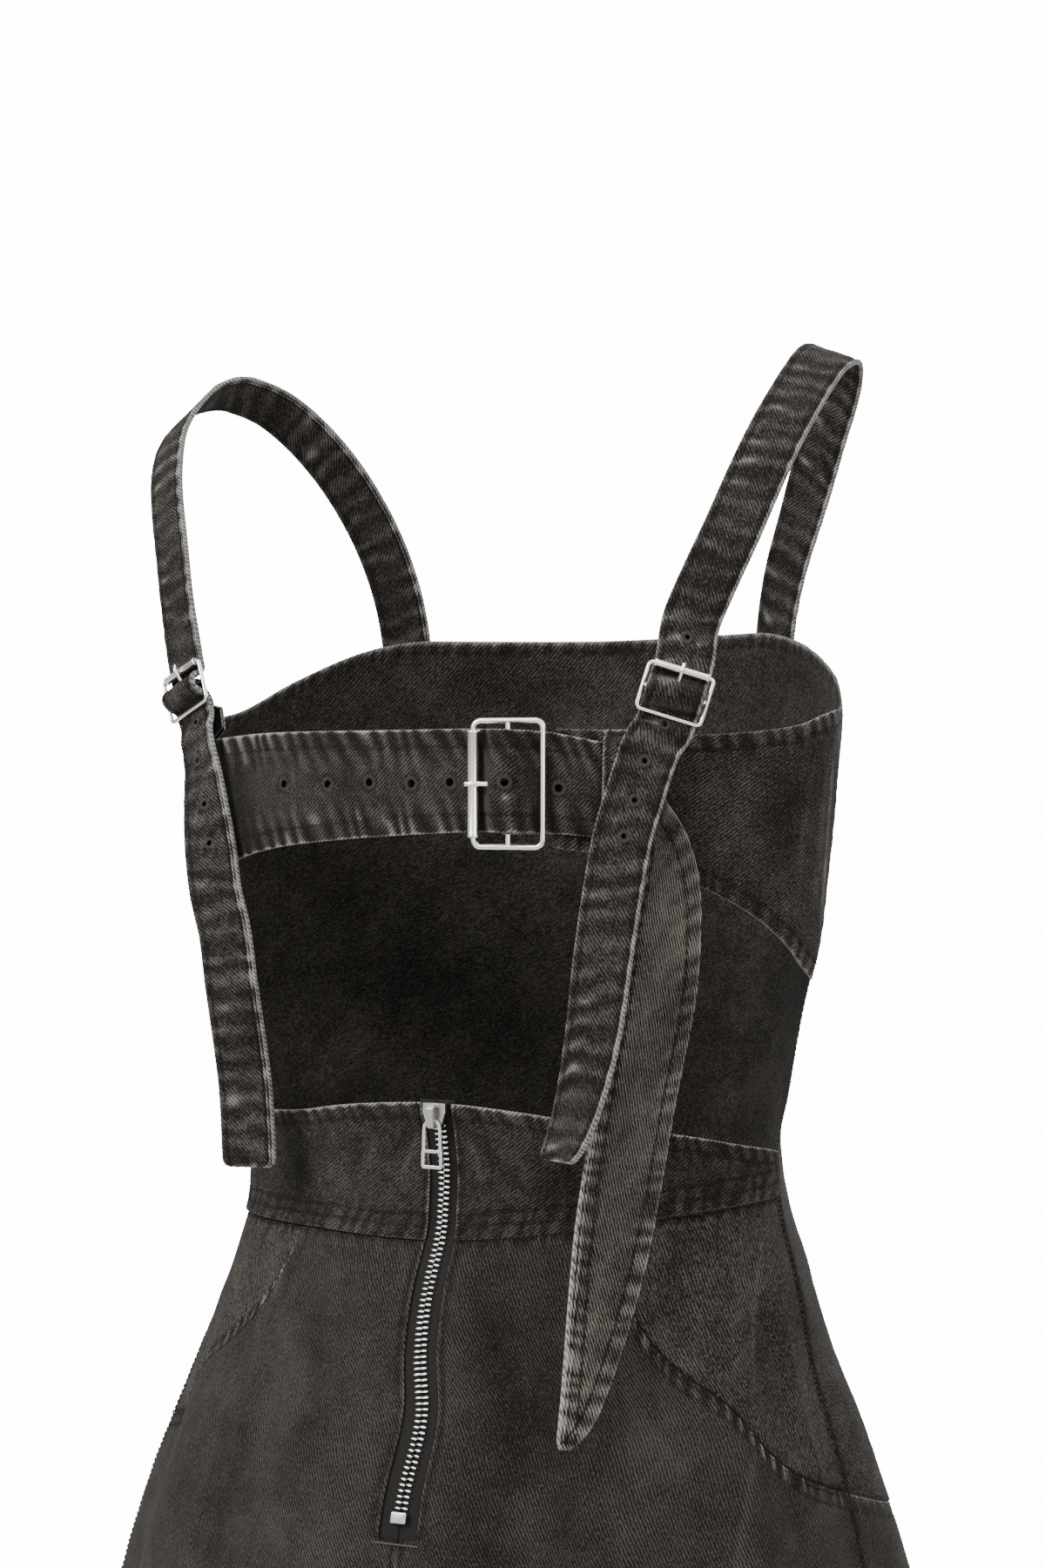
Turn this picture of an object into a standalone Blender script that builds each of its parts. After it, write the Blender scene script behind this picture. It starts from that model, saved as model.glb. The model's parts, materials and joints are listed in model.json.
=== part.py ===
"""Denim dress with an open back, two buckled shoulder straps and a buckled back belt.

Metres, +Z up. The front faces -Y and the wearer's left side is +X. The origin is on the
shoulder line, where the straps rest. Tables and constants are in millimetres and degrees,
and MM turns them into metres. Each cloth panel is a grid on one form, the garment's own
shape, and gets its wall from Solidify.
"""
import math

import bmesh
import bpy
from mathutils import Matrix, Vector

MM = 0.001
SEAM_GAP = 0.4          # between panels at a seam
SEAT_GAP = 0.3          # between a piece and what it lies on
SEAM_DROP = 0.9         # of the skirt below the waist seam, where its wall leans up

# Cloth walls
DENIM = 1.6             # one layer with its turnings
DOUBLE = 2.4            # faced wings and waistband
BELT_THICK = 2.6
STRAP_THICK = 2.6
STRAP_WIDTH = 25.0
TAPE_THICK = 1.0

# Heights
BELT_LEVEL = -200.0
HEM = -820.0

# The form: one row for each level, half widths and depths from the side-seam plane, and how
# much the front narrows just past the side seams
SEAM_PLANE_Y = 20.0
FORM_COLUMNS = ("z", "left", "right", "back", "front", "nip")
FORM = (
    (-110, 158, 158, 90, 116, 0.03),
    (-170, 160, 163, 93, 124, 0.03),
    (-200, 160.5, 162.5, 94.5, 123, 0.06),
    (-235, 160, 159, 93, 118, 0.08),
    (-271, 155, 154.5, 88, 113, 0.08),
    (-300, 147, 147.5, 82, 112, 0.08),
    (-340, 138, 140, 73, 114, 0.08),
    (-368, 131, 134.5, 68.5, 115, 0.05),
    (-395, 131, 137, 68, 116, 0.02),
    (-424, 138.5, 144.5, 78, 118, 0),
    (-460, 150.5, 150.5, 90, 122, 0),
    (-500, 162, 161.5, 101, 129, 0),
    (-550, 177.5, 173, 112, 138, 0),
    (-680, 209, 207, 133, 158, 0),
    (-820, 236, 234, 152, 176, 0),
)

# Flutes and valleys of the skirt: they grow below their start and run to the hem
FLUTE_COLUMNS = ("angle", "spread", "rise", "start")
FLUTES = (
    (-8, 24, 42, -430),
    (196, 22, 24, -430),
    (36, 16, 9, -440),
    (109, 14, -11, -405),
    (76, 18, 7, -450),
    (132, 14, -7, -430),
    (148, 12, 8, -400),
    (222, 16, -12, -450),
    (246, 20, 16, -440),
    (276, 18, -10, -460),
    (302, 20, 15, -440),
    (328, 16, -10, -450),
)
FLUTE_REACH = 120.0     # how fast a flute grows with depth

# Sideways wave of the zip and the cloth beside it, in degrees round the form
ZIP_WAVE = ((-342, 0.4), (-372, 1.2), (-400, 0.6), (-432, -0.2), (-452, 0.3), (-476, 1.9),
            (-512, 0.2), (-560, 0.0), (-820, 0.0))
ZIP_WAVE_SPREAD = 9.0

# Edges, by angle from the nearer side seam
NECK_EDGE = ((0, -168), (10, -163), (25, -147), (42, -131), (55, -126), (90, -127))
WING_TOP = ((0, -167), (8, -169.5), (18, -174.5), (30, -177.5), (41, -179), (59, -177),
            (90, -176.5))
WING_BOTTOM = ((0, -287), (9, -280), (17, -270), (25, -260), (33, -251), (41, -243),
               (50, -235), (60, -229.5), (77, -224.5), (90, -222))
BAND_TOP = ((0, -365), (10, -362.5), (20, -360), (40, -354), (57, -350.5), (68, -346.5),
            (80, -343.5), (90, -342))
# The hip seam leaves the waist seam and sweeps down to the side seam
HIP_START = 55.5
HIP_SEAM = ((54.3, -414), (51, -431), (47, -444), (42.5, -453.5), (38, -460.5),
            (33.5, -467), (29.5, -476), (25, -488.5), (17, -501.5), (8, -509.5), (0, -515))
# The belt's own edges from centre back past the buckle, by angle round the form
BELT_EDGES = ((90, -176.5, -222.0), (99, -176.2, -220.8), (106, -176.6, -220.6),
              (113, -178, -221), (121, -182, -222.6), (130, -184, -224))
# The front hip seam, by angle from the side seam towards the front
FRONT_HIP = ((0, -515), (14, -527), (35, -537), (60, -541), (90, -542))
# The waist seam rises to the wearer's right: by angle from the left side seam
WAIST_SEAM = ((0, -407), (30, -405.5), (55, -404.5), (90, -404), (114, -398), (140, -389.5),
              (160, -386), (180, -384.5))

# Belt, in millimetres along the belt from centre back towards the wearer's right
BAR = 47.0              # the large buckle's middle bar
BUCKLE_HALF = 15.5      # from the middle bar to the roller and to the far bar
WING_END = BAR + 19.0
KEEPER = (87.0, 102.0)
KEEPER_EDGES = (-176.8, -228.6)
BELT_END = 103.6
BELT_HOLE = (BAR - 12.5, BAR - 5.5)
BELT_HOLE_HEIGHT = 5.0

# Large buckle
FRAME_WIRE = 1.65       # radius
FRAME_HEIGHT = 57.0     # outer
FRAME_PLANE = 7.3       # height of the frame's plane over the form at the bar
ROLLER_RADIUS = 3.0
ROLLER_LENGTH = 46.5
PRONG_WIRE = 1.3

# Strap buckles
STRAP_WIRE = 1.1
STRAP_FRAME = (30.5, 22.8)      # outer width, and length along the strap
STRAP_PLANE = 6.8               # height of the frame's plane over the strap's base line
STRAP_ROLLER = 1.9
STRAP_PRONG = 0.9

# Zip
# Levels that the tape, the band and the back panels share along the zip
ZIP_LEVELS = (-342, -357.5, -373, -388.5, -405, -414, -424, -436, -448, -460, -474, -488,
              -502, -516, -529)
TAPE_HALF = 7.6
CHAIN_HALF = 2.9
CHAIN_THICK = 2.2
ZIP_TOP = -341.0
ZIP_BOTTOM = -529.0
CHAIN_TOP = -353.5
STOP_LEVEL = -519.0
SLIDER_LEVEL = -346.6


# ---------------------------------------------------------------- tables and the form

def smooth(rows, column, at):
    """Value of a table's column at a first-column value, on a smooth curve through the rows."""
    rows = sorted(rows)
    xs = [row[0] for row in rows]
    ys = [row[column] for row in rows]
    at = min(max(at, xs[0]), xs[-1])
    i = max(k for k in range(len(xs) - 1) if xs[k] <= at)

    def slope(k):
        if k == 0:
            return (ys[1] - ys[0]) / (xs[1] - xs[0])
        if k == len(xs) - 1:
            return (ys[-1] - ys[-2]) / (xs[-1] - xs[-2])
        before = (ys[k] - ys[k - 1]) / (xs[k] - xs[k - 1])
        after = (ys[k + 1] - ys[k]) / (xs[k + 1] - xs[k])
        return 0.0 if before * after < 0 else (before + after) / 2

    width = xs[i + 1] - xs[i]
    t = (at - xs[i]) / width
    return (ys[i] * (2 * t ** 3 - 3 * t ** 2 + 1) + ys[i + 1] * (3 * t ** 2 - 2 * t ** 3)
            + width * (slope(i) * (t ** 3 - 2 * t ** 2 + t) + slope(i + 1) * (t ** 3 - t ** 2)))


def flute_rise(angle, z):
    """How far the skirt's flutes stand proud of the form here."""
    total = 0.0
    for centre, spread, rise, start in FLUTES:
        away = abs((angle - centre + 180) % 360 - 180)
        if away < spread and z < start:
            across = math.cos(math.pi / 2 * away / spread) ** 2
            total += rise * across * (1 - math.exp((z - start) / FLUTE_REACH))
    return total


def form(angle, z, lift=0.0):
    """Point of the garment's form, in metres: 0 degrees is the wearer's left, 90 the back."""
    near_zip = math.exp(-((angle - 90) / ZIP_WAVE_SPREAD) ** 2)
    turn = math.radians(angle + near_zip * smooth(ZIP_WAVE, 1, z) * (1 if z < -330 else 0))
    half = smooth(FORM, 1 if math.cos(turn) >= 0 else 2, z)
    depth = smooth(FORM, 3 if math.sin(turn) >= 0 else 4, z)
    forward = max(0.0, -math.sin(turn))
    narrow = 1 - smooth(FORM, 5, z) * (1 - math.exp(-4 * forward))
    outward = Vector((math.cos(turn) / half, math.sin(turn) / depth, 0)).normalized()
    base = Vector((half * narrow * math.cos(turn), SEAM_PLANE_Y + depth * math.sin(turn), z))
    return (base + outward * (lift + flute_rise(angle, z))) * MM


def settle(point, lift):
    """The nearest point of the form to a point in metres, moved out by a lift."""
    x, y, z = point / MM
    half = smooth(FORM, 1 if x >= 0 else 2, z)
    depth = smooth(FORM, 3 if y >= SEAM_PLANE_Y else 4, z)
    return form(math.degrees(math.atan2((y - SEAM_PLANE_Y) / depth, x / half)), z, lift)


def outward_at(angle, z):
    """Unit vector out of the form, level."""
    return (form(angle, z, 1.0) - form(angle, z, 0.0)).normalized()


def from_side(angle):
    """Angle from the nearer side seam, for any angle round the form."""
    return min(abs(angle) % 180, 180 - abs(angle) % 180)


def waist_seam(angle):
    return smooth(WAIST_SEAM, 1, angle)


def belt_angle(distance):
    """Angle on the form at a distance along the belt from centre back."""
    step = 0.25 if distance > 0 else -0.25
    angle, gone = 90.0, 0.0
    while gone < abs(distance):
        length = (form(angle + step, BELT_LEVEL) - form(angle, BELT_LEVEL)).length / MM
        part = min(1.0, (abs(distance) - gone) / length)
        angle += step * part
        gone += length * part
        if part < 1.0:
            break
    return angle


def spaced(first, last, count):
    """count + 1 even steps from first to last."""
    return [first + (last - first) * k / count for k in range(count + 1)]


# ---------------------------------------------------------------- making solids

def material(name, colour, rough, metal=0.0):
    """Principled material with one colour."""
    made = bpy.data.materials.new(name)
    made.use_nodes = True
    shader = made.node_tree.nodes["Principled BSDF"]
    shader.inputs["Base Color"].default_value = (*colour, 1)
    shader.inputs["Roughness"].default_value = rough
    shader.inputs["Metallic"].default_value = metal
    made.diffuse_color = (*colour, 1)
    return made


def add_object(name, mesh, finish, collection):
    """Named object for a mesh, with its material, in the part's collection."""
    thing = bpy.data.objects.new(name, mesh)
    collection.objects.link(thing)
    thing.data.materials.clear()
    thing.data.materials.append(finish)
    return thing


def grid_mesh(name, rows, skip=()):
    """Open mesh from rows of points. Its faces look along (across x down)."""
    mesh = bpy.data.meshes.new(name)
    work = bmesh.new()
    verts = [[work.verts.new(point) for point in row] for row in rows]
    for i in range(len(rows) - 1):
        for k in range(len(rows[0]) - 1):
            if (i, k) not in skip:
                work.faces.new((verts[i][k], verts[i][k + 1], verts[i + 1][k + 1],
                                verts[i + 1][k]))
    work.to_mesh(mesh)
    work.free()
    return mesh


def wall(thing, thickness):
    """Give an open sheet its wall, grown outwards."""
    solid = thing.modifiers.new("wall", 'SOLIDIFY')
    solid.thickness = thickness * MM
    solid.offset = 1.0
    solid.use_even_offset = False
    thing.data.shade_smooth()
    return thing


def panel(name, top, bottom, levels, thickness, finish, collection, lift=None, skip=()):
    """Cloth panel on the form.

    top and bottom are lists of (angle, z) of the same length, from the wearer's right to the
    left as seen from outside. levels is a count of rows or a list of fractions from the top
    down, and lift(row fraction, column) is the height of the inner face over the form.
    """
    fractions = spaced(0.0, 1.0, levels) if isinstance(levels, int) else levels
    rows = []
    for f in fractions:
        row = []
        for k, ((a0, z0), (a1, z1)) in enumerate(zip(top, bottom)):
            height = lift(f, k) if lift else 0.0
            row.append(form(a0 + (a1 - a0) * f, z0 + (z1 - z0) * f, height))
        rows.append(row)
    return wall(add_object(name, grid_mesh(name, rows, skip), finish, collection), thickness)


def shifted(line, side):
    """A seam line moved by half the seam gap, to one side of its own direction."""
    per_degree = 2.5                      # millimetres of cloth in a degree, near enough
    moved = []
    for k, (angle, z) in enumerate(line):
        before, after = line[max(k - 1, 0)], line[min(k + 1, len(line) - 1)]
        along = Vector(((after[0] - before[0]) * per_degree, after[1] - before[1])).normalized()
        moved.append((angle - along.y * side * SEAM_GAP / 2 / per_degree,
                      z + along.x * side * SEAM_GAP / 2))
    return moved


def ribbon(name, stations, width, thickness, finish, collection, step=9.0, slot=None):
    """Flat band along stations of (middle of the underside, direction of its width).

    The faces look along (width x path). slot is (first station, last station, half width)
    of an opening in the middle of the band.
    """
    points = [Vector(p) for p, _ in stations]
    sides = [Vector(s).normalized() for _, s in stations]
    lengths = [0.0]
    for a, b in zip(points, points[1:]):
        lengths.append(lengths[-1] + (b - a).length)
    rows, row_of = [], {}
    for k in range(len(points) - 1):
        pieces = max(1, round((lengths[k + 1] - lengths[k]) / step))
        row_of[k] = len(rows)
        last = 1 if k == len(points) - 2 else 0
        for j in range(pieces + last):
            rows.append((between(points, lengths, k, j / pieces),
                         between(sides, lengths, k, j / pieces)))
    reach = (-1.0, 0.0, 1.0)
    skip = set()
    if slot:
        half = slot[2] / (width / 2)
        reach = (-1.0, -half, half, 1.0)
        skip = {(i, 1) for i in range(row_of[slot[0]], row_of[slot[1]])}
    sheet = []
    for i, (middle, side) in enumerate(rows):
        ahead = rows[min(i + 1, len(rows) - 1)][0] - rows[max(i - 1, 0)][0]
        ahead.normalize()
        across = (side - ahead * side.dot(ahead)).normalized()
        sheet.append([(middle + across * width / 2 * part) * MM for part in reach])
    return wall(add_object(name, grid_mesh(name, sheet, skip), finish, collection), thickness)


def between(values, lengths, k, t):
    """Smooth value between station k and the next one."""
    def slope(i):
        lo, hi = max(i - 1, 0), min(i + 1, len(values) - 1)
        return (values[hi] - values[lo]) / (lengths[hi] - lengths[lo])
    span = lengths[k + 1] - lengths[k]
    return (values[k] * (2 * t ** 3 - 3 * t ** 2 + 1)
            + values[k + 1] * (3 * t ** 2 - 2 * t ** 3)
            + slope(k) * span * (t ** 3 - 2 * t ** 2 + t)
            + slope(k + 1) * span * (t ** 3 - t ** 2))


def wire(name, points, radius, finish, collection, closed=False):
    """Round wire through points, as a curve with a bevel."""
    curve = bpy.data.curves.new(name, 'CURVE')
    curve.dimensions = '3D'
    curve.bevel_depth = radius * MM
    curve.bevel_resolution = 2
    curve.use_fill_caps = not closed
    line = curve.splines.new('POLY')
    line.points.add(len(points) - 1)
    for spot, point in zip(line.points, points):
        spot.co = (*point, 1)
    line.use_cyclic_u = closed
    return add_object(name, curve, finish, collection)


def flat_plate(name, outlines, thickness, finish, collection):
    """Flat plate from closed outlines in its own XY plane, the first with the others as holes."""
    curve = bpy.data.curves.new(name, 'CURVE')
    curve.dimensions = '2D'
    curve.fill_mode = 'BOTH'
    curve.extrude = thickness / 2 * MM
    for outline in outlines:
        line = curve.splines.new('POLY')
        line.points.add(len(outline) - 1)
        for spot, (x, y) in zip(line.points, outline):
            spot.co = (x * MM, y * MM, 0, 1)
        line.use_cyclic_u = True
    return add_object(name, curve, finish, collection)


def as_mesh(thing):
    """Turn a curve object into a welded mesh object of the same name and place."""
    depsgraph = bpy.context.evaluated_depsgraph_get()
    name, finish, collection = thing.name, thing.data.materials[0], thing.users_collection[0]
    mesh = bpy.data.meshes.new_from_object(thing.evaluated_get(depsgraph))
    work = bmesh.new()
    work.from_mesh(mesh)
    bmesh.ops.remove_doubles(work, verts=work.verts, dist=0.01 * MM)
    work.to_mesh(mesh)
    work.free()
    place = thing.matrix_world.copy()
    bpy.data.objects.remove(thing)
    made = add_object(name, mesh, finish, collection)
    made.matrix_world = place
    return made


def join_solid(body, other, operation='UNION'):
    """Boolean of a body with another solid, which becomes a hidden cutter."""
    cut = body.modifiers.new(operation.lower(), 'BOOLEAN')
    cut.operation = operation
    cut.solver = 'EXACT'
    cut.object = other
    other.hide_render = True
    other.display_type = 'WIRE'
    for home in list(other.users_collection):
        home.objects.unlink(other)
    CUTTERS.objects.link(other)


def frame_matrix(origin, x_axis, y_axis, z_axis):
    """Placement from an origin in metres and three unit axes."""
    place = Matrix((x_axis, y_axis, z_axis)).transposed().to_4x4()
    place.translation = origin
    return place


def rounded_loop(half_x, half_y, radius, corner_points=4):
    """Points of a rounded rectangle in a plane, anticlockwise."""
    loop = []
    for quarter, (sx, sy) in enumerate(((1, 1), (-1, 1), (-1, -1), (1, -1))):
        for k in range(corner_points):
            turn = math.radians(90 * (quarter + k / (corner_points - 1)))
            loop.append((sx * (half_x - radius) + radius * math.cos(turn),
                         sy * (half_y - radius) + radius * math.sin(turn)))
    return loop


# ---------------------------------------------------------------- front and skirt

def front_line(table, columns):
    """(angle, z) pairs over the front, from the right side seam round to the left one."""
    edge = SEAM_GAP / 2 / 2.7             # degrees that leave half a seam gap at the side
    return [(a, smooth(table, 1, from_side(a))) for a in spaced(360 - edge, 180 + edge, columns)]


def build_front(finish, parts):
    neck = front_line(NECK_EDGE, 34)
    seam = front_line(FRONT_HIP, 34)
    raised = [(a, z + SEAM_GAP / 2) for a, z in seam]
    panel("front_panel", neck, raised, 17, DENIM, finish, parts)
    hem = [(a, HEM) for a, _ in seam]
    lowered = [(a, z - SEAM_GAP / 2) for a, z in seam]
    panel("skirt_front", lowered, hem, 8, DENIM, finish, parts)


def hip_line(side):
    """The hip seam from the waist seam down to the side seam, as angles round the form."""
    start = waist_seam(side(HIP_START)) - SEAM_DROP
    first = HIP_SEAM[0]
    table = ((HIP_START, start), ((HIP_START + first[0]) / 2, (start + first[1]) / 2))
    return [(side(a), z) for a, z in table + HIP_SEAM]


def build_skirt_back(name, side, finish, parts):
    """Back panel and hip piece of one side. side turns an angle from the side seam round."""
    turn = 1 if side(0) < 90 else -1
    edge = SEAM_GAP / 2 / 2.7
    zip_edge = 90 - degrees_of(TAPE_HALF)
    waist = [(side(a), waist_seam(side(a)) - SEAM_DROP)
             for a in spaced(zip_edge, HIP_START + 3.5, 8)]
    seam = hip_line(side)
    below, above = shifted(seam, turn), shifted(seam, -turn)
    below[0] = (seam[0][0] + 0.1 * turn, seam[0][1])
    below[-1] = (side(edge), below[-1][1])
    above[-1] = (side(edge), above[-1][1])
    top = waist + below
    hem = [(side(90 - (90 - edge) * abs(a - 90) / 90), HEM) for a, _ in top]
    build_back_panel("skirt_back_" + name, side, top, hem, finish, parts)

    hip_top = [(a, waist_seam(a) - SEAM_DROP) for a, _ in above[1:]]
    hip_top[0] = (seam[0][0] - 0.1 * turn, seam[0][1])
    hip_bottom = above[1:]
    if turn < 0:
        hip_top, hip_bottom = hip_top[::-1], hip_bottom[::-1]
    panel("hip_piece_" + name, hip_top, hip_bottom, 5, DENIM, finish, parts)


def build_back_panel(name, side, top, hem, finish, parts):
    """Back panel: its first column follows the zip, then steps in to the centre-back seam."""
    start = ZIP_LEVELS[4]
    levels = [(z - start) / (HEM - start) for z in ZIP_LEVELS[4:]]
    levels = levels[:-1] + [levels[-1] - 0.002, levels[-1] + 0.004] + [0.38, 0.48, 0.6, 0.72,
                                                                       0.86, 1.0]
    beside_zip, on_seam = side(90 - degrees_of(TAPE_HALF)), side(90 - SEAM_GAP / 2 / 3.0)
    rows = []
    for f in levels:
        row = []
        for k, ((a0, z0), (a1, _)) in enumerate(zip(top, hem)):
            angle = a0 + (a1 - a0) * f
            if k == 0:
                z0 = start
                angle = beside_zip if z0 + (HEM - z0) * f > ZIP_BOTTOM else on_seam
            row.append(form(angle, z0 + (HEM - z0) * f))
        rows.append(row if side(0) < 90 else row[::-1])
    wall(add_object(name, grid_mesh(name, rows), finish, parts), DENIM)


def degrees_of(distance):
    """Degrees round the back at the waist for a distance from centre back."""
    return distance / 2.42


def build_waistband(name, side, finish, parts):
    """Half of the shaped band, from the zip to the side seam."""
    edge = SEAM_GAP / 2 / 2.4
    angles = spaced(side(90 - degrees_of(TAPE_HALF)), side(edge), 16)
    if side(0) > 90:
        angles = angles[::-1]
    top = [(a, smooth(BAND_TOP, 1, from_side(a))) for a in angles]
    bottom = [(a, waist_seam(a) + SEAM_GAP / 2) for a in angles]
    panel("waistband_" + name, top, bottom, 4, DOUBLE, finish, parts)


# ---------------------------------------------------------------- wings, belt and large buckle

def drop_at(distance):
    """How far the form falls behind the buckle's flat plane at a distance along the belt."""
    middle = belt_angle(BAR)
    away = form(belt_angle(distance), BELT_LEVEL) - form(middle, BELT_LEVEL)
    return -away.dot(outward_at(middle, BELT_LEVEL)) / MM


def belt_path():
    """Height of the belt's inner face over the form, along the belt."""
    under_roller = FRAME_PLANE + drop_at(BAR - BUCKLE_HALF) - ROLLER_RADIUS - 0.4 - BELT_THICK
    under_bar = FRAME_PLANE + drop_at(BAR + BUCKLE_HALF) - FRAME_WIRE - 0.8 - BELT_THICK
    on_wing = DOUBLE + SEAT_GAP + 0.15
    return ((-300, 0.0), (BAR - 45, 0.0), (BAR - 25, 0.8), (BAR - BUCKLE_HALF, under_roller),
            (BAR - 12.5, 2.5), (BAR - 9, 5.0), (BAR - 5.5, 9.6), (BAR - 3, 11.1),
            (BAR, 11.4), (BAR + 3, 10.9), (BAR + 6.5, 8.6), (BAR + 9.5, 5.8),
            (BAR + 12.5, 4.0), (BAR + BUCKLE_HALF, under_bar), (BAR + 25, on_wing),
            (BAR + 80, on_wing))


def straighten(distance, z):
    """Extra lift that keeps the belt upright beside the buckle, which is flat."""
    away = abs(distance - BAR)
    if away > 30:
        return 0.0
    middle = belt_angle(BAR)
    hollow = (form(middle, BELT_LEVEL) - form(middle, z)).dot(outward_at(middle, BELT_LEVEL))
    return hollow / MM * (1.0 if away < 18 else (30 - away) / 12)


def build_belt(finish, parts):
    """Left wing, narrowing to the belt that runs through the buckle to the keeper."""
    path = belt_path()
    near = [BELT_END, 94, 87, 80, 73, 67, BAR + BUCKLE_HALF, 59.5, 56.5, 53.5, 50, 47, 44,
            BELT_HOLE[1], (BELT_HOLE[0] + BELT_HOLE[1]) / 2, BELT_HOLE[0],
            BAR - BUCKLE_HALF, 27, 21, 14, 6]
    distances = near + spaced(-3, -146, 12)
    angles = [belt_angle(d) for d in distances]
    angles += spaced(angles[-1], SEAM_GAP / 2 / 2.7, 6)[1:]
    distances += [-200] * 6
    top, bottom = [], []
    for a in angles:
        if a < 90:
            top.append((a, smooth(WING_TOP, 1, a)))
            bottom.append((a, smooth(WING_BOTTOM, 1, a)))
        else:
            top.append((a, smooth(BELT_EDGES, 1, a)))
            bottom.append((a, smooth(BELT_EDGES, 2, a)))
    hole = BELT_HOLE_HEIGHT / 2 / 44.6
    fractions = [0.0, 0.17, 0.33, 0.52 - hole, 0.52 + hole, 0.67, 0.83, 1.0]
    first = near.index(BELT_HOLE[1])
    panel("belt", top, bottom, fractions, BELT_THICK, finish, parts,
          lift=lambda f, k: (smooth(path, 1, distances[k])
                             + straighten(distances[k],
                                          top[k][1] + (bottom[k][1] - top[k][1]) * f)),
          skip={(3, first), (3, first + 1)})


def build_wing_right(finish, parts):
    side_edge = 180 - SEAM_GAP / 2 / 2.7
    angles = spaced(side_edge, belt_angle(WING_END), 18)
    top = [(a, smooth(WING_TOP, 1, from_side(a))) for a in angles]
    bottom = [(a, smooth(WING_BOTTOM, 1, from_side(a))) for a in angles]
    panel("wing_right", top, bottom, 6, DOUBLE, finish, parts)


def build_keeper(finish, parts):
    """Loop over the belt, sewn to the wing above and below it."""
    angles = [belt_angle(d) for d in spaced(KEEPER[1], KEEPER[0], 3)]
    top = [(a, KEEPER_EDGES[0]) for a in angles]
    bottom = [(a, KEEPER_EDGES[1]) for a in angles]
    low = DOUBLE + SEAT_GAP
    high = low + BELT_THICK + SEAT_GAP + 0.35
    heights = ((0.0, low), (0.055, low), (0.1, high), (0.5, high + 0.4), (0.91, high),
               (0.955, low), (1.0, low))
    panel("belt_keeper", top, bottom, [row[0] for row in heights], DENIM, finish, parts,
          lift=lambda f, k: smooth(heights, 1, f))


def folded_strip(name, profile, levels, point_of, thickness, finish, parts):
    """Strip of cloth folded back on itself round a bar.

    profile runs along the side that touches the bar, levels across the strip, and
    point_of(distance, height, level) places each point.
    """
    rows = [[point_of(d, h, level) for level in levels] for d, h in profile]
    return wall(add_object(name, grid_mesh(name, rows), finish, parts), thickness)


def belt_buckle_place():
    """Placement of the large buckle: x along the belt, y up, z out, at the middle bar."""
    middle = belt_angle(BAR)
    out = outward_at(middle, BELT_LEVEL)
    along = Vector((0, 0, 1)).cross(out)
    return frame_matrix(form(middle, BELT_LEVEL, FRAME_PLANE), along, out.cross(along), out)


def build_buckle_tab(finish, parts):
    """The wing's end folded round the middle bar."""
    place = belt_buckle_place()
    # distance from the bar and height over the form
    profile = ((18.6, 1.2), (12.5, 1.2), (8.5, 1.6), (5.0, 3.1), (2.2, 4.9), (0.3, 5.3),
               (-1.1, 5.6), (-2.0, 7.0), (-1.7, 8.4), (-0.4, 9.25), (1.1, 8.95), (2.7, 7.8),
               (4.4, 5.8), (6.8, 3.6), (9.6, 1.95), (13.0, 1.55), (17.5, 1.55))

    def point_of(d, h, up):
        if d < 8:
            return place @ Vector((d * MM, up * MM, (h - FRAME_PLANE) * MM))
        return form(belt_angle(BAR + d), BELT_LEVEL + up, h)

    folded_strip("belt_buckle_tab", profile, spaced(21.5, -21.5, 2), point_of, 1.0, finish,
                 parts)


def buckle(name, place, half_length, outer_width, wire_radius, roller, roller_length, prong,
           prong_path, metal, parts):
    """Roller buckle with a middle bar.

    place has x from the roller side to the far side, y across the band and z outwards.
    """
    half_width = outer_width / 2 - wire_radius
    loop = [place @ Vector((x * MM, y * MM, 0))
            for x, y in rounded_loop(half_length, half_width, 3.4 if half_width > 20 else 2.2)]
    frame = as_mesh(wire(name + "_frame", loop, wire_radius, metal, parts, closed=True))
    reach = half_width + wire_radius * 0.3
    bar = wire(name + "_bar", [place @ Vector((0, y * MM, 0)) for y in (-reach, reach)],
               wire_radius * 0.93, metal, parts)
    join_solid(frame, as_mesh(bar))
    turned_tube(name + "_roller", place @ Matrix.Translation((-half_length * MM, 0, 0)),
                roller, wire_radius + 0.35, roller_length, metal, parts)
    wire(name + "_prong", [place @ Vector((x * MM, 0, z * MM)) for x, z in prong_path],
         prong, metal, parts)


def turned_tube(name, place, outer, inner, length, metal, parts):
    """Short tube about its own Y axis, turned from its wall's section."""
    mesh = bpy.data.meshes.new(name)
    work = bmesh.new()
    soft = 0.3
    section = [(outer - soft, length / 2), (inner, length / 2), (inner, -length / 2),
               (outer - soft, -length / 2), (outer, -length / 2 + soft), (outer, length / 2 - soft)]
    verts = [work.verts.new((x * MM, 0, z * MM)) for x, z in section[::-1]]
    for a, b in zip(verts, verts[1:] + verts[:1]):
        work.edges.new((a, b))
    work.to_mesh(mesh)
    work.free()
    thing = add_object(name, mesh, metal, parts)
    screw = thing.modifiers.new("turn", 'SCREW')
    screw.steps = 14
    screw.render_steps = 14
    screw.use_merge_vertices = True
    screw.merge_threshold = 0.00001
    screw.use_normal_calculate = True
    thing.matrix_world = place @ Matrix.Rotation(math.radians(90), 4, 'X')
    thing.data.shade_smooth()


def build_belt_buckle(metal, parts):
    place = belt_buckle_place()
    shank = ((-4.9, -0.3), (-8.0, 0.8), (-11.0, 3.0), (-13.0, 4.4), (-15.5, 4.75), (-18.6, 4.0))
    buckle("belt_buckle", place, BUCKLE_HALF, FRAME_HEIGHT, FRAME_WIRE, ROLLER_RADIUS,
           ROLLER_LENGTH, PRONG_WIRE, shank, metal, parts)


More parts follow.
